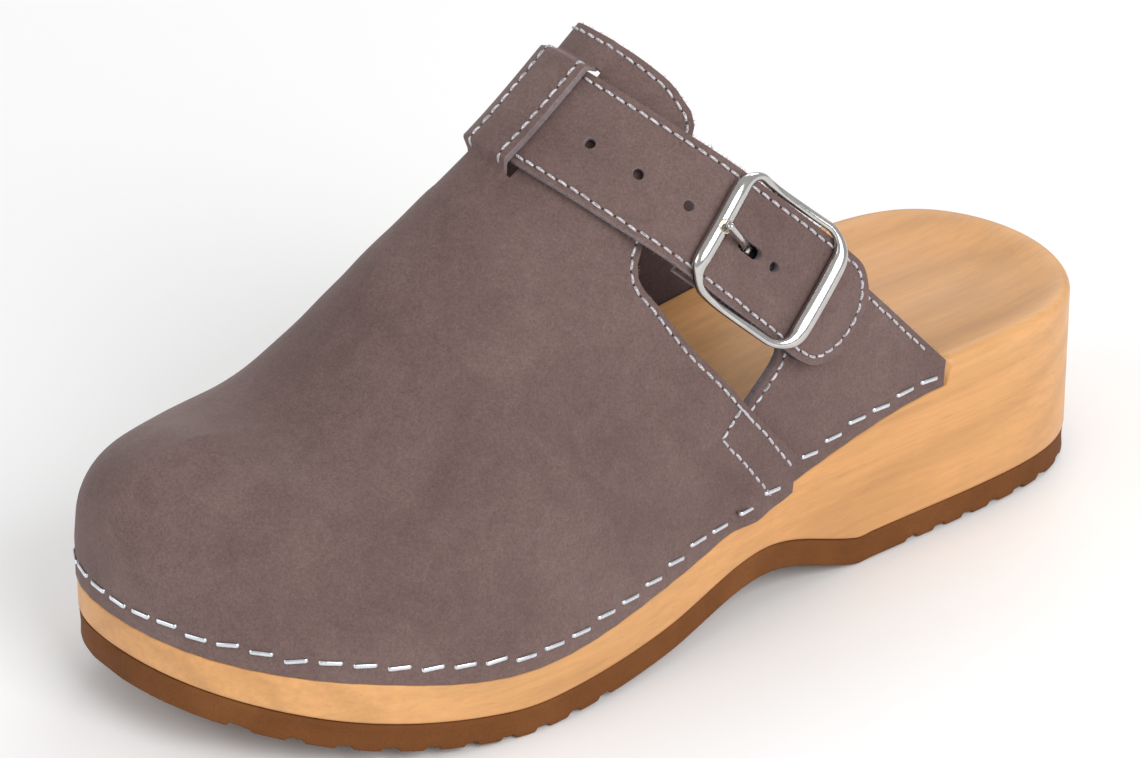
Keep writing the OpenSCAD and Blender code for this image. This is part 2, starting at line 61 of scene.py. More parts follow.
# ---- driving sizes, in millimetres, as in the CAD source ----
SOLE_LEN, BALL_W, HEEL_W = 262, 101, 71
HEEL_H, BALL_H, TOE_H = 46.5, 26.5, 39
TOE_SPRING, ARCH_H, DISH = 21, 17, 4
RUBBER_T, TREAD_DEPTH, TREAD_PITCH, TREAD_GROOVE = 7.5, 2.5, 9, 3.5
LEATHER_T, TOE_BOX_H, TONGUE_H, LAP_H, VAMP_LAP = 2.2, 67.5, 145, 9.5, 12
STRAP_W, STRAP_FREE, BRIDGE_W = 27, 92, 15.5
HOLE_PITCH, HOLE_D, FIRST_HOLE = 12.4, 2.6, 11
BUCKLE_LEN, BUCKLE_AT, PRONG_REACH = 30.5, 53.5, 10.3
RAIL_D, END_BAR_D, PIVOT_D, PRONG_D = 2, 3.8, 1.9, 2.1
STAPLE_PITCH, STAPLE_W, STAPLE_WIRE = 7.6, 5, 1.15
GAP, SEAT_GAP = 0.42, 0.3
RIDGE_X, ARCH_POWER, TOE_POWER = -8, 0.62, 0.69
LAP_SHARE, STEP, TOE_DEPTH = 0.12, 0.001, 22
QUARTER_FRONT, QUARTER_REAR, QUARTER_TOP, STRAP_FOOT = 9, 71, 0.57, 60
VAMP_REAR, TONGUE_FOOT, FRONT_Y = QUARTER_FRONT + VAMP_LAP, 0.327 * SOLE_LEN, -4
SLOT_OVER, SLOT_OPEN, BRIDGE_LIFT, RAMP_FROM = 2.4, 1.2, 3.4, 0.3
DIP_OVER = 16.5
STRAP_DIP = 2 * LEATHER_T + 2 * GAP - BRIDGE_LIFT
PAD_T, PAD_W = 1.3, STRAP_W - 5
EYE_R = PIVOT_D / 2 + SEAT_GAP + 0.65
STRAP_RISE = GAP + PIVOT_D / 2 + EYE_R + GAP
LOOP_T = STRAP_RISE - PAD_T - GAP - 0.1
PAD_ENDS = [BUCKLE_AT - 9, BUCKLE_AT - 3.5, BUCKLE_AT + 3.5, BUCKLE_AT + 28]
TIP_R, MEDIAL_END = 13, -104
# for the looks only
RIM_ROUND, REBATE_ROUND, SPINE_SHARE = 2.4, 1.2, 0.72
TREAD_SHARE, TREAD_EDGE_SHARE = 0.8, 0.45
EDGE_PULL, TAPE_ROUGH, TAPE_FRAY = 0.22, 0.12, 0.22
MM = 0.001

OUTLINE = np.array([
    [-0.12 * BALL_W, -0.515 * SOLE_LEN], [0.2 * BALL_W, -0.485 * SOLE_LEN],
    [0.426 * BALL_W, -0.374 * SOLE_LEN], [0.525 * BALL_W, -0.229 * SOLE_LEN],
    [0.468 * BALL_W, -0.072 * SOLE_LEN], [0.555 * HEEL_W, 0.072 * SOLE_LEN],
    [0.53 * HEEL_W, 0.217 * SOLE_LEN], [0.525 * HEEL_W, 0.359 * SOLE_LEN],
    [0.445 * HEEL_W, 0.469 * SOLE_LEN], [0, 0.519 * SOLE_LEN],
    [-0.455 * HEEL_W, 0.469 * SOLE_LEN], [-0.52 * HEEL_W, 0.359 * SOLE_LEN],
    [-0.48 * HEEL_W, 0.217 * SOLE_LEN], [-0.465 * HEEL_W, 0.072 * SOLE_LEN],
    [-0.416 * BALL_W, -0.072 * SOLE_LEN], [-0.515 * BALL_W, -0.229 * SOLE_LEN],
    [-0.495 * BALL_W, -0.374 * SOLE_LEN], [-0.376 * BALL_W, -0.494 * SOLE_LEN]])


# ---- curves ----
def mix(a, b, u):
    return a + (b - a) * u


def ease(u):
    c = np.clip(u, 0, 1)
    return c * c * (3 - 2 * c)


def unit(v):
    return v / np.linalg.norm(v, axis=-1, keepdims=True)


def dot(a, b):
    return np.sum(a * b, axis=-1)


def run_of(path):
    """Distance along a path, at each of its points."""
    return np.concatenate([[0], np.cumsum(np.linalg.norm(np.diff(path, axis=0), axis=1))])


def along_run(where, run, values):
    """Values given at a path's points, read at distances along it."""
    return np.stack([np.interp(where, run, column) for column in values.T], -1)


def spline(points, t):
    n = len(points)
    f = (t - np.floor(t)) * n
    i = np.floor(f).astype(int)
    u = (f - i)[..., None]
    w = 1 - u
    return (w**3 * points[(i - 1) % n] + (3 * u**3 - 6 * u**2 + 4) * points[i % n]
            + (3 * u + 3 * u**2 - 3 * u**3 + 1) * points[(i + 1) % n] + u**3 * points[(i + 2) % n]) / 6


def curve(knots, x):
    """A smooth curve through knots [x, value]."""
    kx, kv = np.array(knots, float).T
    last = len(kx) - 1
    slope = np.array([(kv[min(i + 1, last)] - kv[max(i - 1, 0)]) / (kx[min(i + 1, last)] - kx[max(i - 1, 0)])
                      for i in range(last + 1)])
    i = np.clip(np.searchsorted(kx, x, side="right") - 1, 0, last - 1)
    d = kx[i + 1] - kx[i]
    u = (x - kx[i]) / d
    h = u * u * (3 - 2 * u)
    return kv[i] * (1 - h) + kv[i + 1] * h + d * (u * (1 - u)**2 * slope[i] - u * u * (1 - u) * slope[i + 1])


# ---- the sole's outline and heights ----
# signed station s: 0 at the toe, positive along the outer side, 1 at the heel
def outline(s):
    return spline(OUTLINE, np.asarray(s, float) / 2)


def outward(s):
    d = outline(s + STEP) - outline(s - STEP)
    return unit(np.stack([d[..., 1], -d[..., 0]], -1))


SIDE_S = np.linspace(0, 1, 401)
SIDE_Y = outline(SIDE_S)[:, 1]
UNDER = [[-0.505 * SOLE_LEN, TOE_SPRING], [-0.38 * SOLE_LEN, mix(RUBBER_T, TOE_SPRING, 0.36)],
         [-0.25 * SOLE_LEN, RUBBER_T], [-0.2 * SOLE_LEN, RUBBER_T],
         [-0.076 * SOLE_LEN, mix(RUBBER_T, ARCH_H, 0.33)], [0.055 * SOLE_LEN, ARCH_H],
         [0.17 * SOLE_LEN, RUBBER_T], [0.19 * SOLE_LEN, RUBBER_T], [0.52 * SOLE_LEN, RUBBER_T]]
RIM = [[-0.505 * SOLE_LEN, TOE_H], [-0.38 * SOLE_LEN, mix(BALL_H, TOE_H, 0.48)],
       [-0.23 * SOLE_LEN, BALL_H], [-0.076 * SOLE_LEN, mix(BALL_H, HEEL_H, 0.26)],
       [0.08 * SOLE_LEN, mix(BALL_H, HEEL_H, 0.7)], [0.2 * SOLE_LEN, mix(BALL_H, HEEL_H, 0.93)],
       [0.29 * SOLE_LEN, HEEL_H], [0.52 * SOLE_LEN, HEEL_H]]


def station(y):
    return np.interp(y, SIDE_Y, SIDE_S)


def under_z(y):
    return curve(UNDER, y)


def rim_z(y):
    return curve(RIM, y)


def edge_z(y):
    return rim_z(y) - mix(LAP_H, 0.7 * LAP_H, ease((y - 20) / 50))


# ---- the upper's surface ----
# v is 0 at the leather's lower edge, 1 on the instep ridge, and past 1 it runs down the other side
RIDGE = [[-111, TOE_BOX_H], [-85, TOE_BOX_H], [-55, mix(TOE_BOX_H, TONGUE_H, 0.37)],
         [-20, mix(TOE_BOX_H, TONGUE_H, 0.675)], [12, TONGUE_H]]


def ridge_y(s):
    return -111 + 53 * s + 126 * s * s


def crest(s):
    y = outline(np.abs(s))[..., 1]
    front = 1 - np.clip((y + 0.507 * SOLE_LEN) / 60, 0, 1)
    return np.stack([np.full_like(y, RIDGE_X), y + TOE_DEPTH * front**2], -1)


def one_side(s, v):
    s, v = np.broadcast_arrays(np.asarray(s, float), np.asarray(v, float))
    return np.where(v > 1, -s, s), np.where(v > 1, 2 - v, v)


def skin(s, v):
    s, v = one_side(s, v)
    a, c = outline(s), crest(s)
    lean = ridge_y(np.abs(s)) - c[..., 1]
    q = math.pi / 2 * np.maximum((v - LAP_SHARE) / (1 - LAP_SHARE), 0)**1.5
    h = np.maximum(np.sin(q), 0)**mix(TOE_POWER, ARCH_POWER, ease(np.abs(s) / 0.5))
    p = c + (a - c) * np.cos(q)[..., None]
    z = np.where(v < LAP_SHARE, mix(edge_z(a[..., 1]), rim_z(a[..., 1]), v / LAP_SHARE),
                 mix(rim_z(a[..., 1]), curve(RIDGE, ridge_y(np.abs(s))), h))
    return np.stack([p[..., 0], p[..., 1] + lean * h, z], -1)


def along_s(s, v):
    return (skin(s + STEP, v) - skin(s - STEP, v)) / (2 * STEP)


def along_v(s, v):
    return (skin(s, v) - skin(s, v - STEP)) / STEP


def facing(s, v):
    s, v = one_side(s, v)
    w = np.minimum(v, 0.99)
    return unit(np.cross(along_s(s, w), along_v(s, w)))


def lifted(s, v, o):
    return skin(s, v) + np.asarray(o)[..., None] * facing(s, v)


# ---- places on the vamp ----
VAMP_EDGE = [[0, VAMP_REAR - 1], [0.27, VAMP_REAR + 2], [0.535, VAMP_REAR + 10.5],
             [0.63, VAMP_REAR + 19], [0.71, TONGUE_FOOT - 9], [0.77, TONGUE_FOOT - 2],
             [0.85, TONGUE_FOOT], [1, TONGUE_FOOT]]
STRAP_S = float(station(STRAP_FOOT))


def vamp_edge(v):
    return station(curve(VAMP_EDGE, v))


def bridge_v(s, d):
    q = np.arccos(np.minimum(d / np.linalg.norm(outline(s) - crest(s), axis=-1), 0.9))
    return mix(LAP_SHARE, 1, (q / (math.pi / 2))**(1 / 1.5))


def ridge_run(s):
    return np.sign(s - STRAP_S) * np.linalg.norm(skin(s, 0.99) - skin(STRAP_S, 0.99), axis=-1)


RIDGE_S = np.linspace(0.4, 0.9, 201)
RIDGE_RUN = ridge_run(RIDGE_S)


def ridge_s(d):
    return np.interp(d, RIDGE_RUN, RIDGE_S)


def on_strap(s, over):
    return ease((STRAP_W / 2 + over - np.abs(ridge_run(np.abs(s)))) / (over - RAMP_FROM))


def vamp_level(s, v, bridge):
    y = outline(np.abs(s))[..., 1]
    lap = ease((y - QUARTER_FRONT + 8) / 7) * (1 - ease((v - 0.32) / 0.12))
    beside = ease((v - 0.62) / (bridge_v(s, BRIDGE_W / 2) - 0.62))
    return lap * (LEATHER_T + GAP) + np.where(
        bridge, BRIDGE_LIFT * on_strap(s, SLOT_OVER), -STRAP_DIP * on_strap(s, DIP_OVER) * beside)


def quarter_front_s(v):
    return station(mix(QUARTER_FRONT, STRAP_FOOT - 0.62 * STRAP_W, ease((v - 0.2) / 0.12)))


def quarter_rear_s(v):
    return station(mix(QUARTER_REAR, STRAP_FOOT + 0.52 * STRAP_W, ease(v / 0.4)))


# ---- the strap ----
# l is 0 at the outer slot and grows towards the tip, w is across, o is out
SLOT_V = float(bridge_v(STRAP_S, BRIDGE_W / 2 + SLOT_OPEN / 2))
V_STEPS = np.linspace(LAP_SHARE, 2 - LAP_SHARE, 401)
LENGTHS = run_of(skin(STRAP_S, V_STEPS))
SLOT_LENGTH = float(np.interp(SLOT_V, V_STEPS, LENGTHS))
BRIDGE_RUN = 2 * (float(np.interp(1, V_STEPS, LENGTHS)) - SLOT_LENGTH)


def strap_v(l):
    return np.interp(l, SLOT_LENGTH - LENGTHS[::-1], V_STEPS[::-1])


def strap_map(l, w):
    l, w = np.broadcast_arrays(np.asarray(l, float), np.asarray(w, float))
    v = strap_v(l)
    ss, sv = along_s(STRAP_S, v), along_v(STRAP_S, v)
    across = unit(np.cross(unit(sv), facing(STRAP_S, v)))
    e, f, g, p = dot(ss, ss), dot(ss, sv), dot(sv, sv), dot(across, ss)
    det = e * g - f * f
    return STRAP_S + w * p * g / det, v - w * p * f / det


def strap_level(l):
    past = np.maximum(np.maximum(l, -l - BRIDGE_RUN), 0)
    over = ease((l - 18) / 24) * (1 - 0.55 * ease((l - PAD_ENDS[3]) / 9))
    return GAP - STRAP_DIP * (1 - ease(past / 20)) + over * (STRAP_RISE - GAP)


def strap_at(l, w, o):
    l, w, o = np.broadcast_arrays(*(np.asarray(a, float) for a in (l, w, o)))
    s, v = strap_map(l, w)
    return lifted(s, v, strap_level(l) + o)


def strap_axes(l, w=0.0):
    """Unit vectors along, across and out of the strap."""
    along = unit(strap_at(l + 0.5, w, 0) - strap_at(l - 0.5, w, 0))
    across = unit(strap_at(l, w + 0.5, 0) - strap_at(l, w - 0.5, 0))
    out = unit(np.cross(along, across))
    return along, across, out * np.sign(dot(out, facing(*strap_map(l, w))))[..., None]


# ---- meshes ----
def volume(points, faces):
    """Signed volume, positive where the faces look outwards."""
    fans = np.array([(face[0], face[k], face[k + 1]) for face in faces for k in range(1, len(face) - 1)])
    a, b, c = (points[fans[:, k]] for k in range(3))
    return dot(a, np.cross(b, c)).sum() / 6


def outwards(points, faces):
    """The faces, all turned round if they look inwards."""
    return [face[::-1] for face in faces] if volume(points, faces) < 0 else faces


def ring_faces(rings, sides, closed=False):
    """Quads between neighbouring rings of points; closed joins the last ring to the first."""
    faces = []
    for i in range(rings if closed else rings - 1):
        j = (i + 1) % rings
        for k in range(sides):
            q = (k + 1) % sides
            faces.append([i * sides + k, i * sides + q, j * sides + q, j * sides + k])
    return faces


def mesh_piece(name, points, faces, materials, indices=None):
    mesh = bpy.data.meshes.new(name)
    points = np.asarray(points, float).reshape(-1, 3)
    mesh.from_pydata((points * MM).tolist(), [], outwards(points, faces))
    mesh.update()
    for m in materials:
        mesh.materials.append(m)
    if indices is not None:
        mesh.polygons.foreach_set("material_index", indices)
    mesh.polygons.foreach_set("use_smooth", [True] * len(mesh.polygons))
    piece = bpy.data.objects.new(name, mesh)
    bpy.context.collection.objects.link(piece)
    return piece


def settle(piece):
    """Applies the piece's modifiers."""
    view = bpy.context.evaluated_depsgraph_get()
    mesh = bpy.data.meshes.new_from_object(piece.evaluated_get(view))
    piece.modifiers.clear()
    piece.data = mesh


def bevelled(piece, width):
    bevel = piece.modifiers.new("bevel", "BEVEL")
    bevel.width = width * MM
    bevel.segments = 3
    bevel.limit_method = "ANGLE"
    bevel.angle_limit = math.radians(50)
    bevel.use_clamp_overlap = True
    settle(piece)


def sheet(name, outer, inner, materials, is_open=None, fold=False):
    """A closed leather sheet between two grids of points. Material 1 is the raw edge, 2 the inner face."""
    n, m = outer.shape[0] - 1, outer.shape[1] - 1
    rows = m + 1
    gone = np.zeros((n, m), bool) if is_open is None else is_open

    def index(layer, i, j):
        column = n - i if fold and j == m and i > n // 2 else i
        return layer * (n + 1) * rows + column * rows + j

    def missing(i, j):
        if i < 0 or i >= n or j < 0 or (j >= m and not fold):
            return True
        return gone[n - 1 - i, m - 1] if j >= m else gone[i, j]

    faces, indices = [], []
    for i in range(n):
        for j in range(m):
            if gone[i, j]:
                continue
            ring = [(i, j), (i, j + 1), (i + 1, j + 1), (i + 1, j)]
            cuts = [ring]
            if fold and j == m - 1 and i == n // 2 - 1:
                cuts = [ring[:3], [ring[0], ring[2], ring[3]]]
            if fold and j == m - 1 and i == n // 2:
                cuts = [[ring[0], ring[1], ring[3]], ring[1:]]
            for cut in cuts:
                faces.append([index(0, *q) for q in cut])
                faces.append([index(1, *q) for q in reversed(cut)])
                indices += [0, 2]
            for q, cell in enumerate([(i - 1, j), (i, j + 1), (i + 1, j), (i, j - 1)]):
                if missing(*cell):
                    a, b = ring[q], ring[(q + 1) % 4]
                    faces.append([index(0, *b), index(0, *a), index(1, *a), index(1, *b)])
                    indices.append(1)
    used = sorted({k for f in faces for k in f})
    place = {k: i for i, k in enumerate(used)}
    points = np.concatenate([outer.reshape(-1, 3), inner.reshape(-1, 3)])[used]
    return mesh_piece(name, points, [[place[k] for k in f] for f in faces], materials, indices)


def tube(path, radius, normals, sides, flat=1.0, twist=0.0):
    """Points and faces of a tube along a path; flat squeezes it along the normals."""
    n = len(path)
    t = unit(np.gradient(path, axis=0))
    side = unit(np.cross(t, normals))
    up = np.cross(side, t)
    r = np.broadcast_to(np.asarray(radius, float), (n,))[:, None, None]
    a = 2 * math.pi * (np.arange(sides) / sides)[None, :, None] + twist * np.arange(n)[:, None, None]
    points = path[:, None] + r * (np.cos(a) * side[:, None] + flat * np.sin(a) * up[:, None])
    faces = ring_faces(n, sides)
    faces.append(list(range(sides))[::-1])
    faces.append([(n - 1) * sides + k for k in range(sides)])
    return points.reshape(-1, 3), faces


def joined(name, parts, materials):
    """One piece from many (points, faces)."""
    points, faces, start = [], [], 0
    for p, f in parts:
        points.append(p)
        faces += [[k + start for k in face] for face in f]
        start += len(p)
    return mesh_piece(name, np.concatenate(points), faces, materials)


# ---- materials ----
def new_material(name, colour, roughness, metallic=0.0, **sockets):
    material = bpy.data.materials.new(name)
    material.use_nodes = True
    shader = material.node_tree.nodes["Principled BSDF"]
    shader.inputs["Base Color"].default_value = (*colour, 1)
    shader.inputs["Roughness"].default_value = roughness
    shader.inputs["Metallic"].default_value = metallic
    for socket, value in sockets.items():
        shader.inputs[socket.replace("_", " ")].default_value = value
    return material, material.node_tree, shader


def node(tree, kind, **inputs):
    made = tree.nodes.new(kind)
    for key, value in inputs.items():
        made.inputs[key.replace("_", " ")].default_value = value
    return made


def mapped(tree, scale=(1, 1, 1), turn=(0, 0, 0)):
    where = tree.nodes.new("ShaderNodeTexCoord")
    mapping = tree.nodes.new("ShaderNodeMapping")
    mapping.inputs["Scale"].default_value = scale
    mapping.inputs["Rotation"].default_value = turn
    tree.links.new(where.outputs["Object"], mapping.inputs["Vector"])
    return mapping.outputs["Vector"]


def noise(tree, vector, scale, detail, roughness, distortion=0.0):
    made = node(tree, "ShaderNodeTexNoise", Scale=scale, Detail=detail, Roughness=roughness,
                Distortion=distortion)
    tree.links.new(vector, made.inputs["Vector"])
    return made.outputs["Fac"]


def ramp(tree, value, *stops):
    """A value turned into colours; a stop is a place and a colour, or a place and a grey."""
    made = tree.nodes.new("ShaderNodeValToRGB")
    made.color_ramp.interpolation = "LINEAR"
    while len(made.color_ramp.elements) < len(stops):
        made.color_ramp.elements.new(0.5)
    for element, (at, colour) in zip(made.color_ramp.elements, stops):
        element.position = at
        element.color = (*colour, 1) if isinstance(colour, tuple) else (colour, colour, colour, 1)
    tree.links.new(value, made.inputs["Fac"])
    return made.outputs["Color"]


def mottled(tree, vector, look, *stops):
    """Noise turned into colours; look is its scale, detail, roughness and distortion, if any."""
    return ramp(tree, noise(tree, vector, *look), *stops)


def multiplied(tree, colour, *layers):
    """A colour with layers (colour, share) multiplied onto it."""
    for layer, share in layers:
        made = tree.nodes.new("ShaderNodeMix")
        made.data_type = "RGBA"
        made.blend_type = "MULTIPLY"
        made.inputs[0].default_value = share
        tree.links.new(colour, made.inputs[6])
        tree.links.new(layer, made.inputs[7])
        colour = made.outputs[2]
    return colour


def bump(tree, shader, *layers):
    """Adds bump layers (height, strength, distance in millimetres) to a shader."""
    normal = None
    for height, strength, distance in layers:
        made = node(tree, "ShaderNodeBump", Strength=strength, Distance=distance * MM)
        tree.links.new(height, made.inputs["Height"])
        if normal is not None:
            tree.links.new(normal, made.inputs["Normal"])
        normal = made.outputs["Normal"]
    tree.links.new(normal, shader.inputs["Normal"])


def scaled(colour, share):
    return tuple(c * share for c in colour)


def nubuck(name, dark, mid, light, nap, sheen):
    material, tree, shader = new_material(
        name, mid, 0.92, Sheen_Weight=sheen, Sheen_Roughness=0.45, Specular_IOR_Level=0.18)
    shader.inputs["Sheen Tint"].default_value = (0.86, 0.76, 0.74, 1)
    where = mapped(tree)
    cloud = mottled(tree, where, (26, 4, 0.55, 0.6), (0.3, dark), (0.5, mid), (0.72, light))
    patch = mottled(tree, where, (150, 5, 0.65, 1.2), (0.32, 0.9), (0.68, 1.08))
    grain = mottled(tree, where, (1300, 4, 0.75), (0.3, 0.74), (0.7, 1.2))
    fleck = mottled(tree, where, (3400, 2, 0.6), (0.36, 0.8), (0.66, 1.16))
    colour = multiplied(tree, cloud, (patch, 1.0), (grain, 0.8), (fleck, 0.7))
    tree.links.new(colour, shader.inputs["Base Color"])
    bump(tree, shader, (noise(tree, where, 220, 4, 0.6, 0.8), 0.35, 0.25),
         (noise(tree, where, 1500, 4, 0.75), 0.5 * nap, 0.16),
         (noise(tree, where, 5200, 2, 0.6), 0.45 * nap, 0.07))
    return material


def alder():
    material, tree, shader = new_material(
        "alder", (0.66, 0.38, 0.17), 0.48, Coat_Weight=0.1, Coat_Roughness=0.3, Specular_IOR_Level=0.28)
    long_grain = mapped(tree, (1, 0.055, 1), (0.03, 0.0, 0.04))
    swirl = mapped(tree, (1, 0.35, 1), (0.0, 0.05, 0.07))
    board = mottled(tree, swirl, (16, 3, 0.5, 0.5), (0.3, (0.59, 0.290, 0.108)),
                    (0.5, (0.63, 0.322, 0.126)), (0.72, (0.68, 0.362, 0.148)))
    rings = node(tree, "ShaderNodeTexWave", Scale=36, Distortion=5.5, Detail=3, Detail_Scale=1.2)
    rings.wave_type = "RINGS"
    rings.rings_direction = "Y"
    pith = mapped(tree, (1, 0.16, 1), (0.06, 0.0, 0.03))
    tree.links.new(pith, rings.inputs["Vector"])
    ring_shade = ramp(tree, rings.outputs["Fac"], (0.0, 0.90), (0.55, 1.02), (1.0, 1.05))
    fibre = mottled(tree, long_grain, (520, 4, 0.7, 0.2), (0.3, 0.87), (0.65, 1.06))
    pores = mottled(tree, long_grain, (1900, 2, 0.5), (0.24, (0.66, 0.55, 0.46)), (0.38, 1.0))
    flame = mottled(tree, mapped(tree, (0.5, 1, 0.5)), (44, 4, 0.6, 1.5), (0.35, 0.97), (0.7, 1.03))
    colour = multiplied(tree, board, (ring_shade, 0.75), (fibre, 0.85), (pores, 0.3), (flame, 0.9))
    tree.links.new(colour, shader.inputs["Base Color"])
    shine = mottled(tree, long_grain, (260, 3, 0.6), (0.3, 0.36), (0.7, 0.52))
    tree.links.new(shine, shader.inputs["Roughness"])
    bump(tree, shader, (noise(tree, long_grain, 700, 3, 0.6), 0.16, 0.06),
         (noise(tree, mapped(tree), 60, 3, 0.5), 0.12, 0.3))
    return material


def rubber():
    material, tree, shader = new_material(
        "rubber", (0.150, 0.060, 0.020), 0.75, Specular_IOR_Level=0.2)
    where = mapped(tree)
    base = mottled(tree, where, (45, 4, 0.6, 0.5), (0.3, (0.126, 0.043, 0.010)),
                   (0.55, (0.160, 0.056, 0.014)), (0.75, (0.19, 0.070, 0.019)))
    speck = mottled(tree, where, (2400, 3, 0.7), (0.32, 0.78), (0.66, 1.14))
    tree.links.new(multiplied(tree, base, (speck, 0.8)), shader.inputs["Base Color"])
    streak = noise(tree, mapped(tree, (1, 1, 0.12)), 900, 3, 0.6)
    bump(tree, shader, (streak, 0.3, 0.12), (noise(tree, where, 2600, 3, 0.7), 0.35, 0.08))
    return material


def metal(name, colour, roughness, scratch):
    material, tree, shader = new_material(name, colour, roughness, 1.0)
    where = mapped(tree, (1, 0.2, 1), (0.4, 0.2, 0.7))
    rough = mottled(tree, where, (1600, 4, 0.7), (0.3, roughness * 0.7), (0.75, roughness * 1.9))
    tree.links.new(rough, shader.inputs["Roughness"])
    tone = mottled(tree, mapped(tree), (300, 4, 0.6), (0.35, scaled(colour, 0.86)), (0.65, colour))
    tree.links.new(tone, shader.inputs["Base Color"])
    bump(tree, shader, (noise(tree, where, 2600, 3, 0.7), scratch, 0.03))
    return material


def thread_material():
    material, tree, shader = new_material(
        "thread", (0.50, 0.475, 0.50), 0.55, Sheen_Weight=0.3, Specular_IOR_Level=0.4)
    where = mapped(tree)
    ply = node(tree, "ShaderNodeTexWave", Scale=900, Distortion=1.5, Detail=1)
    tree.links.new(mapped(tree, (1, 1, 1), (0.5, 0.6, 0.7)), ply.inputs["Vector"])
    # the dark bands between the plies are painted shade in the thread's grooves; the bump below uses the same
    # bands
    shade = ramp(tree, ply.outputs["Fac"], (0.0, (0.27, 0.25, 0.27)), (0.5, (0.60, 0.57, 0.60)))
    soil = mottled(tree, where, (260, 3, 0.6), (0.3, 0.7), (0.65, 1.1))
    tree.links.new(multiplied(tree, shade, (soil, 1.0)), shader.inputs["Base Color"])
    bump(tree, shader, (ply.outputs["Fac"], 0.7, 0.12))
    return material


def tape():
    material, tree, shader = new_material(
        "black_tape", (0.012, 0.012, 0.013), 0.85, Sheen_Weight=0.06)
    where = mapped(tree)
    weave = mottled(tree, where, (1700, 3, 0.8), (0.35, 0.004), (0.7, 0.035))
    tree.links.new(weave, shader.inputs["Base Color"])
    bump(tree, shader, (noise(tree, where, 1400, 3, 0.8), 1.0, 0.4))
    return material


def plain(name, colour, roughness):
    material, tree, shader = new_material(name, colour, roughness)
    tone = mottled(tree, mapped(tree), (900, 3, 0.6),
                   (0.3, scaled(colour, 0.7)), (0.7, scaled(colour, 1.2)))
    tree.links.new(tone, shader.inputs["Base Color"])
    return material


FACE = nubuck("nubuck_face", (0.132, 0.084, 0.078), (0.152, 0.099, 0.091), (0.178, 0.120, 0.110), 1.0, 0.2)
EDGE = nubuck("nubuck_raw_edge", (0.17, 0.13, 0.135), (0.225, 0.175, 0.182), (0.29, 0.235, 0.24), 2.0, 0.35)
# inner face at about half the outer face's brightness: partly the flesh side's own colour, partly painted shade
# of the inside of the upper
INNER = nubuck("nubuck_flesh_side_painted_shade", (0.055, 0.033, 0.034), (0.075, 0.047, 0.047), (0.10, 0.066, 0.064),
               2.0, 0.25)
LEATHER = [FACE, EDGE, INNER]
WOOD = alder()
RUBBER = rubber()
NICKEL = metal("nickel", (0.58, 0.565, 0.55), 0.12, 0.08)
BRASS = metal("brass_tone", (0.70, 0.60, 0.45), 0.2, 0.15)
STEEL = metal("staple_steel", (0.78, 0.82, 0.88), 0.22, 0.25)
THREAD = thread_material()
TAPE = tape()
# near-black brown for the needle-hole marks: painted shade inside the holes
HOLE_SHADE = plain("painted_needle_hole_shade", (0.045, 0.030, 0.028), 0.95)


# ---- wooden base ----
def round_stations(n):
    i = np.arange(n)
    return np.where(i < n / 2, 2 * i / n, 2 * i / n - 2)


def wooden_sole():
    n = 640
    rebate = LEATHER_T + SEAT_GAP
    s = round_stations(n)
    p, out = outline(s), outward(s)
    y = p[:, 1]
    covered = y < QUARTER_REAR + 2
    rim, under, edge = rim_z(y), under_z(y), edge_z(y) - SEAT_GAP
    wall_top = np.where(covered, edge - 0.5, rim - RIM_ROUND - 1)
    middle_x = (p[:, 0] + outline(-s)[:, 0]) / 2
    middle = np.column_stack([middle_x, SPINE_SHARE * y])
    rings = []

    def ring(d, z):
        q = p - np.asarray(d)[..., None] * out
        rings.append(np.column_stack([q, np.broadcast_to(z, n)]))

    def inner(share, z_of):
        x, yy = mix(middle_x, p[:, 0], share), y * mix(SPINE_SHARE, 1, share)
        rings.append(np.column_stack([x, yy, z_of(yy)]))

    for share in (0.04, 0.3, 0.6, 0.85):
        inner(share, under_z)
    ring(np.full(n, 0.8), under)
    ring(np.full(n, 0.15), under + 0.25)
    ring(np.zeros(n), under + 0.9)
    for u in (0.25, 0.5, 0.75):
        ring(np.zeros(n), mix(under + 0.9, wall_top, u))
    ring(np.zeros(n), wall_top)
    ring(np.where(covered, 0.12, 0.0), np.where(covered, edge - 0.12, rim - RIM_ROUND - 0.6))
    ring(np.where(covered, 0.5, 0.0), np.where(covered, edge, rim - RIM_ROUND - 0.3))
    ring(np.where(covered, rebate, 0.0), np.where(covered, edge, rim - RIM_ROUND))
    for k in range(1, 7):
        a = math.pi / 2 * k / 6
        ring(np.where(covered, rebate + REBATE_ROUND * (1 - math.cos(a)), RIM_ROUND * (1 - math.cos(a))),
             rim - np.where(covered, REBATE_ROUND * (1 - math.sin(a)), RIM_ROUND * (1 - math.sin(a))))
    start = rings[-1]
    for share in (0.97, 0.93, 0.88, 0.82, 0.75, 0.67, 0.58, 0.48, 0.38, 0.28, 0.18, 0.1, 0.04):
        q = mix(middle, start[:, :2], share)
        depth = DISH * (1 - share**3)**1.5
        rings.append(np.column_stack([q, rim_z(q[:, 1]) - depth]))
    points = np.concatenate(rings)
    faces = ring_faces(len(rings), n)
    top = (len(rings) - 1) * n
    for i in range(n // 2):
        a, b = (n - i) % n, n - i - 1
        strip = [i, i + 1, b, a] if i and i < n // 2 - 1 else ([0, 1, n - 1] if i == 0 else [i, i + 1, a])
        faces.append(list(reversed(strip)))
        faces.append([k + top for k in strip])
    piece = mesh_piece("wooden_base", points, faces, [WOOD])
    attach(piece, "base")
    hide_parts("wooden_sole")


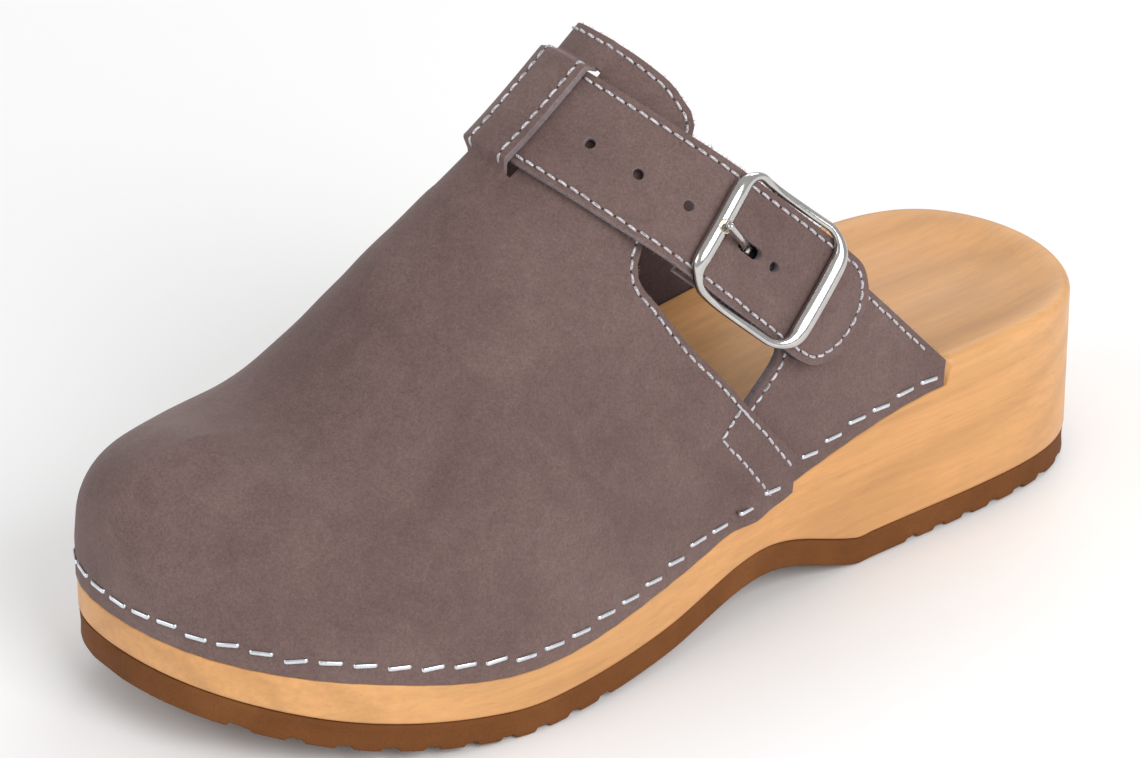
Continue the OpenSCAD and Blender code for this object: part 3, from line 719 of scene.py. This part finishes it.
# ---- rubber outsole ----
def tread_rows():
    """Groove centres, as the CAD model has them."""
    return np.concatenate([np.arange(-0.46 * SOLE_LEN, -0.12 * SOLE_LEN, TREAD_PITCH),
                           np.arange(0.24 * SOLE_LEN, 0.47 * SOLE_LEN, TREAD_PITCH)])


def groove(y):
    """Depth of the tread at y, from 0 on the land to 1 in a groove."""
    d = np.min(np.abs(y[:, None] - tread_rows()[None]), axis=1)
    return 1 - ease((d - TREAD_GROOVE / 2 + 0.5) / 0.9)


def rubber_outsole():
    tip, corner, bevel, hollow, thin = 0.3, 0.3, 0.9, 0.25, 0.02
    base = np.unique(np.concatenate([
        outline(np.linspace(0.004, 0.996, 300))[:, 1],
        np.concatenate([tread_rows() + d for d in (-2.2, -1.8, -1.4, -1.0, 0, 1.0, 1.4, 1.8, 2.2)])]))
    base = base[(base > SIDE_Y[0] + tip) & (base < SIDE_Y[-1] - tip)]
    s = station(base)
    right, left = outline(s)[:, 0], np.interp(base, outline(-SIDE_S)[:, 1], outline(-SIDE_S)[:, 0])
    mid = (left + right) / 2
    depth = TREAD_DEPTH * TREAD_SHARE * groove(base)
    wave = 0.25 * np.sin(base * 1.9) + 0.2 * np.sin(base * 3.7 + 1)
    top = under_z(base) - 0.2
    low = under_z(base) - RUBBER_T + np.maximum(depth + wave * (groove(base) > 0.2), 0)
    rim = mix(under_z(base) - RUBBER_T, low, TREAD_EDGE_SHARE)
    half_l, half_r = mid - left - tip, right - mid - tip

    def less(half, cut):
        return np.maximum(half - cut, thin)

    soft, edge_l, edge_r = 0.3 * bevel, less(half_l, bevel), less(half_r, bevel)
    section = [(mid - less(half_l, corner), top), (mid - half_l, top - corner)]
    section += [(mid - half_l + hollow * math.sin(math.pi * u), mix(top - corner, rim + bevel, u))
                for u in (0.25, 0.5, 0.75, 1)]
    section += [(mid - less(half_l, soft), rim + soft), (mid - edge_l, rim)]
    section += [(mid - edge_l * (1 - u), low) for u in (0.08, 0.25, 0.5, 0.75)]
    section.append((mid, low))
    section += [(mid + edge_r * u, low) for u in (0.25, 0.5, 0.75, 0.92)]
    section += [(mid + edge_r, rim), (mid + less(half_r, soft), rim + soft)]
    section += [(mid + half_r - hollow * math.sin(math.pi * u), mix(rim + bevel, top - corner, u))
                for u in (0, 0.25, 0.5, 0.75, 1)]
    section.append((mid + less(half_r, corner), top))
    grid = np.stack([np.column_stack([x, base, z]) for x, z in section], 1)
    n, m = grid.shape[:2]
    faces = [[a, d, c, b] for a, b, c, d in ring_faces(n, m)]
    faces.append(list(range(m)))
    faces.append([(n - 1) * m + j for j in range(m)][::-1])
    piece = mesh_piece("rubber_sole", grid.reshape(-1, 3), faces, [RUBBER])
    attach(piece, "base")
    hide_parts("rubber_outsole")


# ---- leather ----
def relief(p):
    """Gentle unevenness of thick leather, in millimetres, from a place."""
    x, y, z = p[..., 0] / 10, p[..., 1] / 10, p[..., 2] / 10
    return (0.16 * np.sin(1.1 * x + 0.7 * y + 2) * np.cos(0.9 * z - 0.5 * x)
            + 0.11 * np.sin(2.3 * y - 1.7 * z + 1) + 0.06 * np.sin(4.1 * x + 3.3 * z))


def girth(s):
    """Distance round the sole from the toe."""
    return np.interp(np.abs(s), SIDE_S, run_of(outline(SIDE_S)))


def pulled(s, v):
    """How far the lower edge stands off, in waves as long as the staples are apart."""
    wave = 0.5 + 0.5 * np.cos(2 * math.pi * girth(s) / STAPLE_PITCH)
    return EDGE_PULL * np.clip(1 - v / 0.1, 0, 1) * wave


def vamp_grid():
    """Stations, heights and the bridge mask of the vamp's grid."""
    front_n, low_n, side_n, top_n = 64, 3, 40, 8
    over, full = STRAP_W / 2 + SLOT_OVER, STRAP_W / 2 + RAMP_FROM
    front_s, edge_s = float(station(FRONT_Y)), float(vamp_edge(1.0))
    places = [front_s, ridge_s(-over), ridge_s(-full), ridge_s(full), ridge_s(over), edge_s]
    counts = [12, 4, 22, 4, 14]
    rear = np.concatenate([np.linspace(a, b, count + 1)[1:]
                           for a, b, count in zip(places, places[1:], counts)])
    slot_columns = (counts[0], sum(counts[:4]))
    n = 2 * (front_n + len(rear))
    m = low_n + side_n + 1 + top_n
    c = np.abs(np.arange(n + 1) - n // 2)
    sign = np.sign(np.arange(n + 1) - n // 2)

    def v_of(s):
        low = np.linspace(0, LAP_SHARE, low_n + 1)[:-1]
        side_top = bridge_v(s, BRIDGE_W / 2 + SLOT_OPEN)
        side = [mix(LAP_SHARE, side_top, u) for u in np.linspace(0, 1, side_n + 1)]
        top = [mix(bridge_v(s, BRIDGE_W / 2), 1, u) for u in np.linspace(0, 1, top_n + 1)]
        return np.stack([np.full_like(s, v) for v in low] + side + top, -1)

    rows_v = v_of(np.array([STRAP_S]))[0]
    edge_of_row = vamp_edge(rows_v)
    s = np.empty((n + 1, m + 1))
    for i in range(n + 1):
        if c[i] <= front_n:
            s[i] = sign[i] * front_s * c[i] / front_n
        else:
            share = (rear[c[i] - front_n - 1] - front_s) / (edge_s - front_s)
            s[i] = sign[i] * mix(front_s, edge_of_row, share)
    v = np.empty_like(s)
    for j in range(m + 1):
        v[:, j] = v_of(s[:, j])[:, j]
    bridge = np.zeros_like(s, bool)
    bridge[:, low_n + side_n + 1:] = True
    is_open = np.zeros((n, m), bool)
    cell = np.abs(np.arange(n) + 0.5 - n / 2) - 0.5 - front_n
    is_open[:, low_n + side_n] = (cell >= slot_columns[0]) & (cell < slot_columns[1])
    return s, v, bridge, is_open


def vamp():
    s, v, bridge, is_open = vamp_grid()
    level = vamp_level(s, v, bridge)
    smooth = 1 - on_strap(s, DIP_OVER) * ease((v - 0.5) / 0.2)
    wrinkle = pulled(s, v) + relief(skin(s, v)) * ease((v - 0.15) / 0.2) * smooth
    outer = lifted(s, v, level + wrinkle)
    inner = lifted(s, v, level + wrinkle - LEATHER_T)
    piece = sheet("vamp_leather", outer, inner, LEATHER, is_open, True)
    bevelled(piece, 0.55)
    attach(piece, "base")
    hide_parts("vamp")


def quarter(side, name, node_name):
    n, m = 56, 78
    v = np.concatenate([np.linspace(0, LAP_SHARE, 4)[:-1], np.linspace(LAP_SHARE, QUARTER_TOP, m - 2)])
    a, b = quarter_front_s(v), quarter_rear_s(v)
    u = np.linspace(0, 1, n + 1)[:, None]
    s = mix(a, b, u) if side > 0 else mix(-b, -a, u)
    v = np.broadcast_to(v, s.shape)
    pull = pulled(s, v)
    outer, inner = lifted(s, v, pull), lifted(s, v, pull - LEATHER_T)
    piece = sheet(name, outer, inner, LEATHER)
    bevelled(piece, 0.5)
    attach(piece, "base")
    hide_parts(node_name)


def tip_half(l):
    u = np.clip((l - STRAP_FREE + TIP_R) / (TIP_R + 0.3), 0, 1)
    return mix(0.35, 1, np.sqrt(1 - u * u)) * STRAP_W / 2


STRAP_CELL = HOLE_PITCH / 13
HOLES = [(FIRST_HOLE + k * HOLE_PITCH, HOLE_D / 2, 0) for k in (0, 1, 2, 4)]
HOLES.append((FIRST_HOLE + 44 * STRAP_CELL, PRONG_D / 2 + 0.45, 2))


def strap():
    first = FIRST_HOLE - STRAP_CELL * round((FIRST_HOLE - MEDIAL_END) / STRAP_CELL)
    n, m = int((STRAP_FREE - first) / STRAP_CELL) + 1, 28
    l = first + STRAP_CELL * np.arange(n + 1)
    l[-1] = STRAP_FREE
    l = np.repeat(l[:, None], m + 1, 1)
    w = np.linspace(-1, 1, m + 1)[None] * tip_half(l)
    is_open = np.zeros((n, m), bool)
    inside, outside = 2 * STRAP_CELL, 3 * STRAP_CELL
    for at, radius, cells in HOLES:
        straight = np.clip(l - at, -cells * STRAP_CELL, cells * STRAP_CELL)
        x, y = l - at - straight, w + 0
        c = np.maximum(np.abs(x), np.abs(y))
        near = (c > 1e-6) & (c < outside)
        r = np.hypot(x, y) + 1e-9
        share = np.clip((c - inside) / (outside - inside), 0, 1)
        l = np.where(near, at + straight + mix(x / r * radius * np.minimum(c / inside, 1), x, share), l)
        w = np.where(near, mix(y / r * radius * np.minimum(c / inside, 1), y, share), w)
        i, j = round((at - first) / STRAP_CELL), m // 2
        is_open[i - 2 - cells:i + 2 + cells, j - 2:j + 2] = True
    edge = 1 - ease((tip_half(l) - np.abs(w)) / 2.0)
    dip = 0.16 * np.exp(-((tip_half(l) - np.abs(w) - STITCH_IN) / 0.7)**2)
    sway = 0.12 * np.sin(l / 9) * np.sin(w / 7 + 1)
    outer = strap_at(l, w, LEATHER_T - dip - 0.08 * edge + sway)
    inner = strap_at(l, w, sway)
    piece = sheet("strap_leather", outer, inner, LEATHER, is_open)
    bevelled(piece, 0.4)
    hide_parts("strap_anchor", "strap_end")
    bend(piece)


def bend(piece):
    """Bakes the piece's placement into its mesh."""
    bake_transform(piece)


# ---- thread ----
STITCH_PITCH, STITCH_SHARE, THREAD_R, STITCH_IN = 3.1, 0.78, 0.34, 1.7
HOLE_SHADE_HALF = 0.32


def resampled(path, normals, pitch):
    """The even pitch nearest the one asked for, how often it fits, and place and normal at a distance."""
    run = run_of(path)
    count = max(int(round(run[-1] / pitch)), 1)

    def at(where):
        return along_run(where, run, path), unit(along_run(where, run, normals))

    return run[-1] / count, count, at


def stitches(path, normals, seed):
    """Thread pieces, and dark marks of painted shade at the needle holes, along a path on the leather's face."""
    rng = np.random.default_rng(seed)
    pitch, count, at = resampled(path, normals, STITCH_PITCH)
    threads, hole_shades = [], []
    u = np.linspace(-1, 1, 9)
    for k in range(count):
        middle = (k + 0.5) * pitch + rng.normal(0, 0.08)
        half = 0.5 * STITCH_SHARE * pitch * (1 + rng.normal(0, 0.04))
        p, n = at(middle + half * u)
        height = THREAD_R * (0.55 - 1.5 * np.abs(u)**3.5)
        drift = rng.normal(0, 0.07)
        side = unit(np.cross(np.gradient(p, axis=0), n))
        p = p + height[:, None] * n + (drift + 0.10 * u)[:, None] * side
        threads.append(tube(p, THREAD_R * (1 - 0.35 * np.abs(u)**4), n, 8, twist=0.5))
        # a flat dark lens just above the leather at each needle hole: painted shade in the hole
        q, n = at(max(k * pitch, HOLE_SHADE_HALF) + HOLE_SHADE_HALF * np.array([-1, 0, 1]))
        hole_shades.append(tube(q + 0.01 * n, [0.12, 0.25, 0.12], n, 6, flat=0.3))
    return threads, hole_shades


def surface_path(s, v, o):
    return lifted(s, v, o), facing(s, v)


def moved_in(s, v, d):
    """A path of (s, v), moved sideways over the surface by d millimetres."""
    p, n = skin(s, v), facing(s, v)
    to = np.cross(n, unit(np.gradient(p, axis=0))) * d
    ss, sv = along_s(s, v), along_v(s, v)
    e, f, g = dot(ss, ss), dot(ss, sv), dot(sv, sv)
    a, b = dot(to, ss), dot(to, sv)
    det = e * g - f * f
    return s + (a * g - b * f) / det, v + (b * e - a * f) / det


def vamp_line(s, v):
    bridge = v > bridge_v(s, BRIDGE_W / 2 + 0.3)
    return surface_path(s, v, vamp_level(s, v, bridge))


def sew(name, rows, body=None):
    threads, hole_shades = [], []
    for seed, (path, normals) in enumerate(rows):
        t, h = stitches(path, normals, seed + len(name))
        threads += t
        hole_shades += h
    # the second piece holds the dark marks of painted shade at the needle holes
    pieces = [joined(name, threads, [THREAD]), joined(name + "_painted_hole_shade", hole_shades, [HOLE_SHADE])]
    for piece in pieces:
        if body is None:
            bend(piece)
        else:
            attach(piece, body)


def vamp_stitching():
    rows = []
    v = np.linspace(0.25, 1.0, 160)
    for side in (1, -1):
        s, w = moved_in(side * vamp_edge(v), v, side * STITCH_IN)
        rows.append(vamp_line(s, w))
        back = np.linspace(-1, 1, 40) * (STRAP_W / 2 + SLOT_OVER - 0.8)
        s = ridge_s(back)
        w = bridge_v(s, BRIDGE_W / 2 - STITCH_IN)
        rows.append(surface_path(side * s, w, vamp_level(s, w, np.ones_like(w, bool))))
    v = np.array([0.10, 0.19, 0.28])
    for side in (1, -1):
        inner, w = moved_in(side * vamp_edge(v), v, side * (STITCH_IN + 8.5))
        rows.append(vamp_line(inner, w))
        near, w2 = moved_in(side * vamp_edge(v), v, side * STITCH_IN)
        rows.append(vamp_line(near, w2))
        top_s, top_v = np.linspace(near[-1], inner[-1], 5), np.linspace(w2[-1], w[-1], 5)
        rows.append(vamp_line(top_s, top_v))
    sew("vamp_thread", rows, "base")


def quarter_stitching():
    rows = []
    for side in (1, -1):
        v = np.linspace(0.16, QUARTER_TOP - 0.01, 120)
        for edge, sign in ((quarter_front_s, -1), (quarter_rear_s, 1)):
            s, w = moved_in(side * edge(v), v, side * sign * STITCH_IN)
            rows.append(surface_path(s, w, 0 * s))
    sew("quarter_thread", rows, "base")


def strap_stitching():
    rows = []
    l = np.concatenate([np.linspace(MEDIAL_END + 4, -BRIDGE_RUN - 2, 160),
                        np.linspace(-BRIDGE_RUN, STRAP_FREE - TIP_R, 160)])
    for side in (1, -1):
        w = side * (STRAP_W / 2 - STITCH_IN) + 0 * l
        rows.append((strap_at(l, w, LEATHER_T), strap_axes(l, w)[2]))
    a = np.linspace(-1, 1, 60) * math.pi / 2
    l = STRAP_FREE - TIP_R + (TIP_R - STITCH_IN) * np.cos(a)
    w = (STRAP_W / 2 - STITCH_IN) * np.sign(a) * np.abs(np.sin(a))**0.9
    rows.append((strap_at(l, w, LEATHER_T), strap_axes(l, w)[2]))
    sew("strap_thread", rows)


def fibres(name, rows, seed, body=None):
    """Short loose fibres along cut edges.

    A row is edge points, their directions outwards and out of the face, and the fibres per millimetre."""
    rng = np.random.default_rng(seed)
    parts = []
    for path, out, depth, per_mm in rows:
        run = run_of(path)
        for where in rng.uniform(0, run[-1], int(run[-1] * per_mm)):
            p, o, d = (along_run(where, run, q) for q in (path, out, depth))
            base = p - 0.12 * o - d * rng.uniform(0.1, LEATHER_T - 0.1)
            reach = unit(o + rng.normal(0, 0.6, 3)) * rng.uniform(0.4, 1.3)
            a = unit(np.cross(reach, [0.3, 0.5, 0.8])) * 0.08
            b = unit(np.cross(reach, a)) * 0.08
            tip = base + reach + rng.normal(0, 0.08, 3)
            parts.append((np.array([base + a, base - a / 2 + 0.87 * b, base - a / 2 - 0.87 * b, tip]),
                          [[0, 2, 1], [0, 1, 3], [1, 2, 3], [2, 0, 3]]))
    piece = joined(name, parts, [EDGE])
    if body is None:
        bend(piece)
    else:
        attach(piece, body)


def edge_fibres():
    rows = []
    v = np.linspace(0.14, 1.0, 90)
    for side in (1, -1):
        s = side * vamp_edge(v)
        (path, normals), (inside, _) = vamp_line(s, v), vamp_line(*moved_in(s, v, side * 1.0))
        rows.append((path, unit(path - inside), normals, 2.2))
        for edge, sign in ((quarter_front_s, -1), (quarter_rear_s, 1)):
            low = np.linspace(0.1, QUARTER_TOP - 0.01, 60)
            s = side * edge(low)
            (path, normals), (inside, _) = surface_path(s, low, 0 * s), surface_path(
                *moved_in(s, low, side * sign * 1.0), 0 * s)
            rows.append((path, unit(path - inside), normals, 1.6))
    fibres("edge_fibres", rows, 21, "base")
    rows = []
    l = np.linspace(1, STRAP_FREE - TIP_R, 80)
    for side in (1, -1):
        w = side * STRAP_W / 2 + 0 * l
        _, across, out = strap_axes(l, w)
        rows.append((strap_at(l, w, LEATHER_T), side * across, out, 4.0))
    fibres("strap_fibres", rows, 22)


# ---- staples ----
def staple_shape(place, tangent, normal):
    """A flat crown with rounded shoulders that dive into the leather."""
    half, drop, shoulder, proud = STAPLE_W / 2, 1.1, 0.45, 0.28
    a = np.linspace(0, math.pi / 2, 5)
    short, fall = shoulder * (1 - np.sin(a)), shoulder * np.cos(a) - shoulder
    x = np.concatenate([[-half], -half + short[::-1], half - short, [half]])
    z = np.concatenate([[-drop], fall[::-1], fall, [-drop]])
    path = place + x[:, None] * tangent + (z + proud)[:, None] * normal
    out = np.outer(np.interp(x, [-half, 0, half], [-1, 0, 1])**3, tangent) * 0.2 + normal
    return tube(path, STAPLE_WIRE / 2, unit(out), 10, flat=0.55)


def on_quarter(y):
    return VAMP_REAR < y < QUARTER_REAR - 3


def staples():
    for name, node_name, test in (
            ("toe_staples", "vamp_staples", lambda s, y: y < VAMP_REAR - 2),
            ("outer_staples", "quarter_staples_lateral", lambda s, y: s > 0 and on_quarter(y)),
            ("inner_staples", "quarter_staples_medial", lambda s, y: s < 0 and on_quarter(y))):
        parts = []
        rng = np.random.default_rng(5)
        for side in (1, -1):
            fine = np.linspace(0, 1, 801) * side
            run = run_of(outline(fine))
            for k in range(60):
                s = float(np.interp((k + 0.5) * STAPLE_PITCH, run, fine))
                y = float(outline(s)[1])
                if not test(s, y):
                    continue
                v = LAP_SHARE * (0.5 + rng.normal(0, 0.05))
                level = vamp_level(np.array(s), np.array(v), False) if y < VAMP_REAR else 0.0
                n = facing(s, v)
                t = unit(np.cross([0, 0, 1], n))
                tilt = rng.normal(0, 0.05)
                t = unit(t + tilt * np.cross(n, t))
                parts.append(staple_shape(lifted(s, v, level), t, n))
        piece = joined(name, parts, [STEEL])
        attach(piece, "base")
        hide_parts(node_name)


# ---- closure and buckle ----
def pad(name, ends, low, high, half, body, node_name, level_off):
    """Rough tape between two lengths of the strap, once for each pair of ends."""
    n, m = 60, 44
    for k, (a, b) in enumerate(ends):
        l = np.linspace(a, b, n + 1)[:, None] + np.zeros((1, m + 1))
        w = np.linspace(-1, 1, m + 1)[None] * half + np.zeros((n + 1, 1))
        base = -strap_level(l) if level_off else 0 * l
        rng = np.random.default_rng(k + 3)
        rough = rng.uniform(-TAPE_ROUGH, TAPE_ROUGH, l.shape)
        w = w + rng.uniform(-TAPE_FRAY, TAPE_FRAY, w.shape) * (np.abs(w) > half - 0.1)
        outer, inner = strap_at(l, w, base + high + rough), strap_at(l, w, base + low)
        piece = sheet(f"{name}_{k}" if k else name, outer, inner, [TAPE, TAPE, TAPE])
        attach(piece, body)
        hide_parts(node_name)


FRONT_AT = BUCKLE_AT - PRONG_REACH
REAR_AT = FRONT_AT + BUCKLE_LEN
RAIL_W = STRAP_W / 2 + GAP + RAIL_D / 2
RAIL_LOW = -0.2
BAR_O = LEATHER_T + GAP + END_BAR_D / 2
BAR_WIDE, BAR_HIGH, RAIL_WIDE, CORNER = 2.15, 1.75, 1.0, 5.6


def ring_path(n):
    """Even points round a rectangle with rounded corners: along the strap, across it."""
    a = np.linspace(0, math.pi / 2, 24)
    x0, x1, y = FRONT_AT, REAR_AT, RAIL_W
    turns = [(x1 - CORNER, y - CORNER, 0), (x0 + CORNER, y - CORNER, 1),
             (x0 + CORNER, CORNER - y, 2), (x1 - CORNER, CORNER - y, 3)]
    corners = []
    for x, w, k in turns:
        turn = a + k * math.pi / 2
        corners.append(np.column_stack([x + CORNER * np.cos(turn), w + CORNER * np.sin(turn)]))
    loop = np.concatenate(corners + [corners[0][:1]])
    run = run_of(loop)
    at = run[-1] * np.arange(n) / n
    return np.interp(at, run, loop[:, 0]), np.interp(at, run, loop[:, 1])


def buckle_frame():
    n, sides = 320, 28
    l, w = ring_path(n)
    away = l - BUCKLE_AT
    end = np.where(away < 0, -away / PRONG_REACH, away / (BUCKLE_LEN - PRONG_REACH))
    bar = ease((end - 0.62) / 0.38) * ease(1.35 * (1 - (np.abs(w) / RAIL_W)**2))
    o = mix(RAIL_LOW, BAR_O, np.minimum(end, 1)**1.6)
    for _ in range(40):
        o = (np.roll(o, 1) + o + np.roll(o, -1)) / 3
    path, out = strap_at(l, w, o), strap_axes(l, w)[2]
    tangent = unit(np.roll(path, -1, 0) - np.roll(path, 1, 0))
    inward = unit(np.cross(out, tangent))
    out = np.cross(tangent, inward)
    centre = strap_at(BUCKLE_AT + 5, 0, 1)
    inward = inward * np.sign(dot(inward, centre - path))[:, None]
    a = 2 * math.pi * np.arange(sides) / sides
    c, d = np.cos(a)[None, :, None], np.sin(a)[None, :, None]
    bar = bar[:, None, None]
    wide, high = mix(RAIL_WIDE, BAR_WIDE, bar), mix(RAIL_WIDE, BAR_HIGH, bar)
    scoop = bar * 0.55 * np.maximum(c, 0)**1.2 * np.maximum(d, 0)**0.7
    shape = np.maximum(np.abs(c)**2.5 + np.abs(d)**2.5, 1e-6)**(-1 / 2.5)
    points = (path[:, None] + inward[:, None] * wide * shape * c
              + out[:, None] * high * (shape * d - scoop) - 0.15 * bar * inward[:, None])
    piece = mesh_piece("buckle", points.reshape(-1, 3), ring_faces(n, sides, True), [NICKEL])
    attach(piece, "strap")
    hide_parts("buckle_frame")


def turned(name, place, axis, profile, material, sides=40):
    """A closed lathe piece; profile is (radius, height) from the bottom's middle to the top's middle."""
    side = unit(np.cross(axis, [0.3, 0.9, 0.1]))
    up = np.cross(axis, side)
    a = 2 * math.pi * np.arange(sides) / sides
    spoke = np.cos(a)[:, None] * side + np.sin(a)[:, None] * up
    rings = [place + h * axis + r * spoke for r, h in profile[1:-1]]
    points = np.concatenate([[place + profile[0][1] * axis], *rings, [place + profile[-1][1] * axis]])
    last, faces = len(rings) * sides + 1, []
    for k in range(sides):
        q = (k + 1) % sides
        faces.append([0, 1 + q, 1 + k])
        faces.append([last, last - sides + k, last - sides + q])
        faces += [[1 + r * sides + k, 1 + r * sides + q, 1 + (r + 1) * sides + q, 1 + (r + 1) * sides + k]
                  for r in range(len(rings) - 1)]
    return mesh_piece(name, points, faces, [material])


def prong_seat():
    axis = strap_axes(np.array(FRONT_AT), np.array(0.0))[2]
    place = strap_at(FRONT_AT, 0, BAR_O + BAR_HIGH - 0.55)
    profile = [(0, -0.6), (1.6, -0.6), (1.75, 0.3), (1.7, 0.5), (1.45, 0.58), (1.2, 0.45), (0.9, 0.25), (0, 0.2)]
    piece = turned("prong_seat", place, axis, profile, BRASS)
    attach(piece, "strap")


def prong():
    """A tapered rod from an eye round the pivot bar, over the knee to a rounded tip."""
    pivot = strap_at(BUCKLE_AT, 0, -GAP - PIVOT_D / 2)
    knee = strap_at(BUCKLE_AT - 3.4, 0, LEATHER_T + GAP + PRONG_D / 2)
    over_bar = (END_BAR_D / 2 + GAP + PRONG_D / 2) / math.cos(math.radians(36))
    tip = strap_at(FRONT_AT - 0.8, 0, BAR_O + over_bar + 0.6)
    inner, outer = PIVOT_D / 2 + SEAT_GAP, EYE_R
    path = np.array([pivot + unit(knee - pivot) * (inner + outer) / 2, knee, tip])
    for _ in range(4):
        cuts = np.stack([mix(path[:-1], path[1:], 0.25), mix(path[:-1], path[1:], 0.75)], 1).reshape(-1, 3)
        path = np.vstack([path[:1], cuts, path[-1:]])
    run = run_of(path)
    end, nose = run[-1], 0.9
    even = np.concatenate([np.linspace(0, end - nose, 50), end - nose * np.cos(np.linspace(0.15, 1.5, 8))])
    path = along_run(even, run, path)
    left = np.clip((end - even) / nose, 0, 1)
    radius = PRONG_D / 2 * mix(1, 0.86, even / end) * np.sqrt(1 - (1 - left)**2)
    _, across, out = strap_axes(np.array(BUCKLE_AT), np.array(0.0))
    rod, rod_faces = tube(path, np.maximum(radius, 0.08), np.tile(out, (len(path), 1)), 28)
    sides = 40
    a = 2 * math.pi * np.arange(sides) / sides
    side = unit(np.cross(across, out))
    half, soft = PRONG_D / 2, 0.18
    profile = [(inner, -half + soft), (inner + soft, -half), (outer - soft, -half), (outer, -half + soft),
               (outer, half - soft), (outer - soft, half), (inner + soft, half), (inner, half - soft)]
    eye = np.concatenate([pivot + h * across + r * (np.cos(a)[:, None] * side + np.sin(a)[:, None] * out)
                          for r, h in profile])
    parts = [(rod, outwards(rod, rod_faces)), (eye, outwards(eye, ring_faces(len(profile), sides, True)))]
    piece = joined("buckle_prong", parts, [NICKEL])
    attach(piece, "prong")
    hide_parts("prong")


def dress_cad_node(name, material):
    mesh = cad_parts[name].data
    mesh.materials.clear()
    mesh.materials.append(material)


# ---- light, floor and camera ----
def light(name, place, target, size, power, colour=(1, 1, 1)):
    data = bpy.data.lights.new(name, "AREA")
    data.shape = "RECTANGLE"
    data.size, data.size_y = size
    data.energy = power
    data.color = colour
    lamp = bpy.data.objects.new(name, data)
    bpy.context.collection.objects.link(lamp)
    lamp.location = place
    lamp.rotation_mode = "QUATERNION"
    lamp.rotation_quaternion = (Vector(place) - Vector(target)).to_track_quat("Z", "Y")


def studio():
    half = 3.0
    mesh = bpy.data.meshes.new("floor")
    corners = [(-half, -half, 0), (half, -half, 0), (half, half, 0), (-half, half, 0)]
    mesh.from_pydata(corners, [], [(0, 1, 2, 3)])
    mesh.materials.append(new_material("pale_floor", (0.93, 0.93, 0.93), 0.85, Specular_IOR_Level=0.1)[0])
    floor = bpy.data.objects.new("floor", mesh)
    bpy.context.collection.objects.link(floor)
    floor.location = (0, 0, cad_low[2] - 0.0003)
    world = bpy.data.worlds.new("studio")
    world.use_nodes = True
    background = world.node_tree.nodes["Background"]
    background.inputs["Color"].default_value = (1, 1, 1, 1)
    background.inputs["Strength"].default_value = 0.58
    bpy.context.scene.world = world
    middle = (0, 0, 0.05)
    light("key", (1.15, -0.1, 0.8), middle, (0.8, 0.8), 13)
    light("fill", (-0.35, -1.15, 0.7), middle, (1.0, 0.7), 4)
    light("back", (-0.5, 1.0, 0.8), middle, (1.2, 0.5), 5)
    bpy.context.scene.view_settings.view_transform = "Standard"


def camera():
    azimuth, elevation, roll = math.radians(53), math.radians(28.67), math.radians(0.34)
    target, distance, focal = Vector((-0.01033, -0.00397, 0.04591)), 1.1355, 152.33
    back = Vector((math.sin(azimuth) * math.cos(elevation), -math.cos(azimuth) * math.cos(elevation),
                   math.sin(elevation)))
    data = bpy.data.cameras.new("camera")
    data.lens, data.sensor_width = focal, 36
    data.clip_start, data.clip_end = 0.05, 20
    eye = bpy.data.objects.new("camera", data)
    bpy.context.collection.objects.link(eye)
    eye.location = target + distance * back
    eye.rotation_mode = "QUATERNION"
    eye.rotation_quaternion = back.to_track_quat("Z", "Y") @ Quaternion((0, 0, 1), -roll)
    bpy.context.scene.camera = eye


camera()
studio()
wooden_sole()
rubber_outsole()
vamp()
quarter(1, "outer_quarter", "quarter_lateral")
quarter(-1, "inner_quarter", "quarter_medial")
strap()
vamp_stitching()
quarter_stitching()
strap_stitching()
edge_fibres()
staples()
pad("hook_patch", [PAD_ENDS[:2], PAD_ENDS[2:]], 0.05, PAD_T, PAD_W / 2,
    "base", "hook_pad", True)
pad("loop_patch", [PAD_ENDS[2:]], -LOOP_T, -0.05, STRAP_W / 2 + 0.1,
    "strap", "loop_pad", False)
buckle_frame()
prong_seat()
dress_cad_node("pivot_bar", NICKEL)
prong()
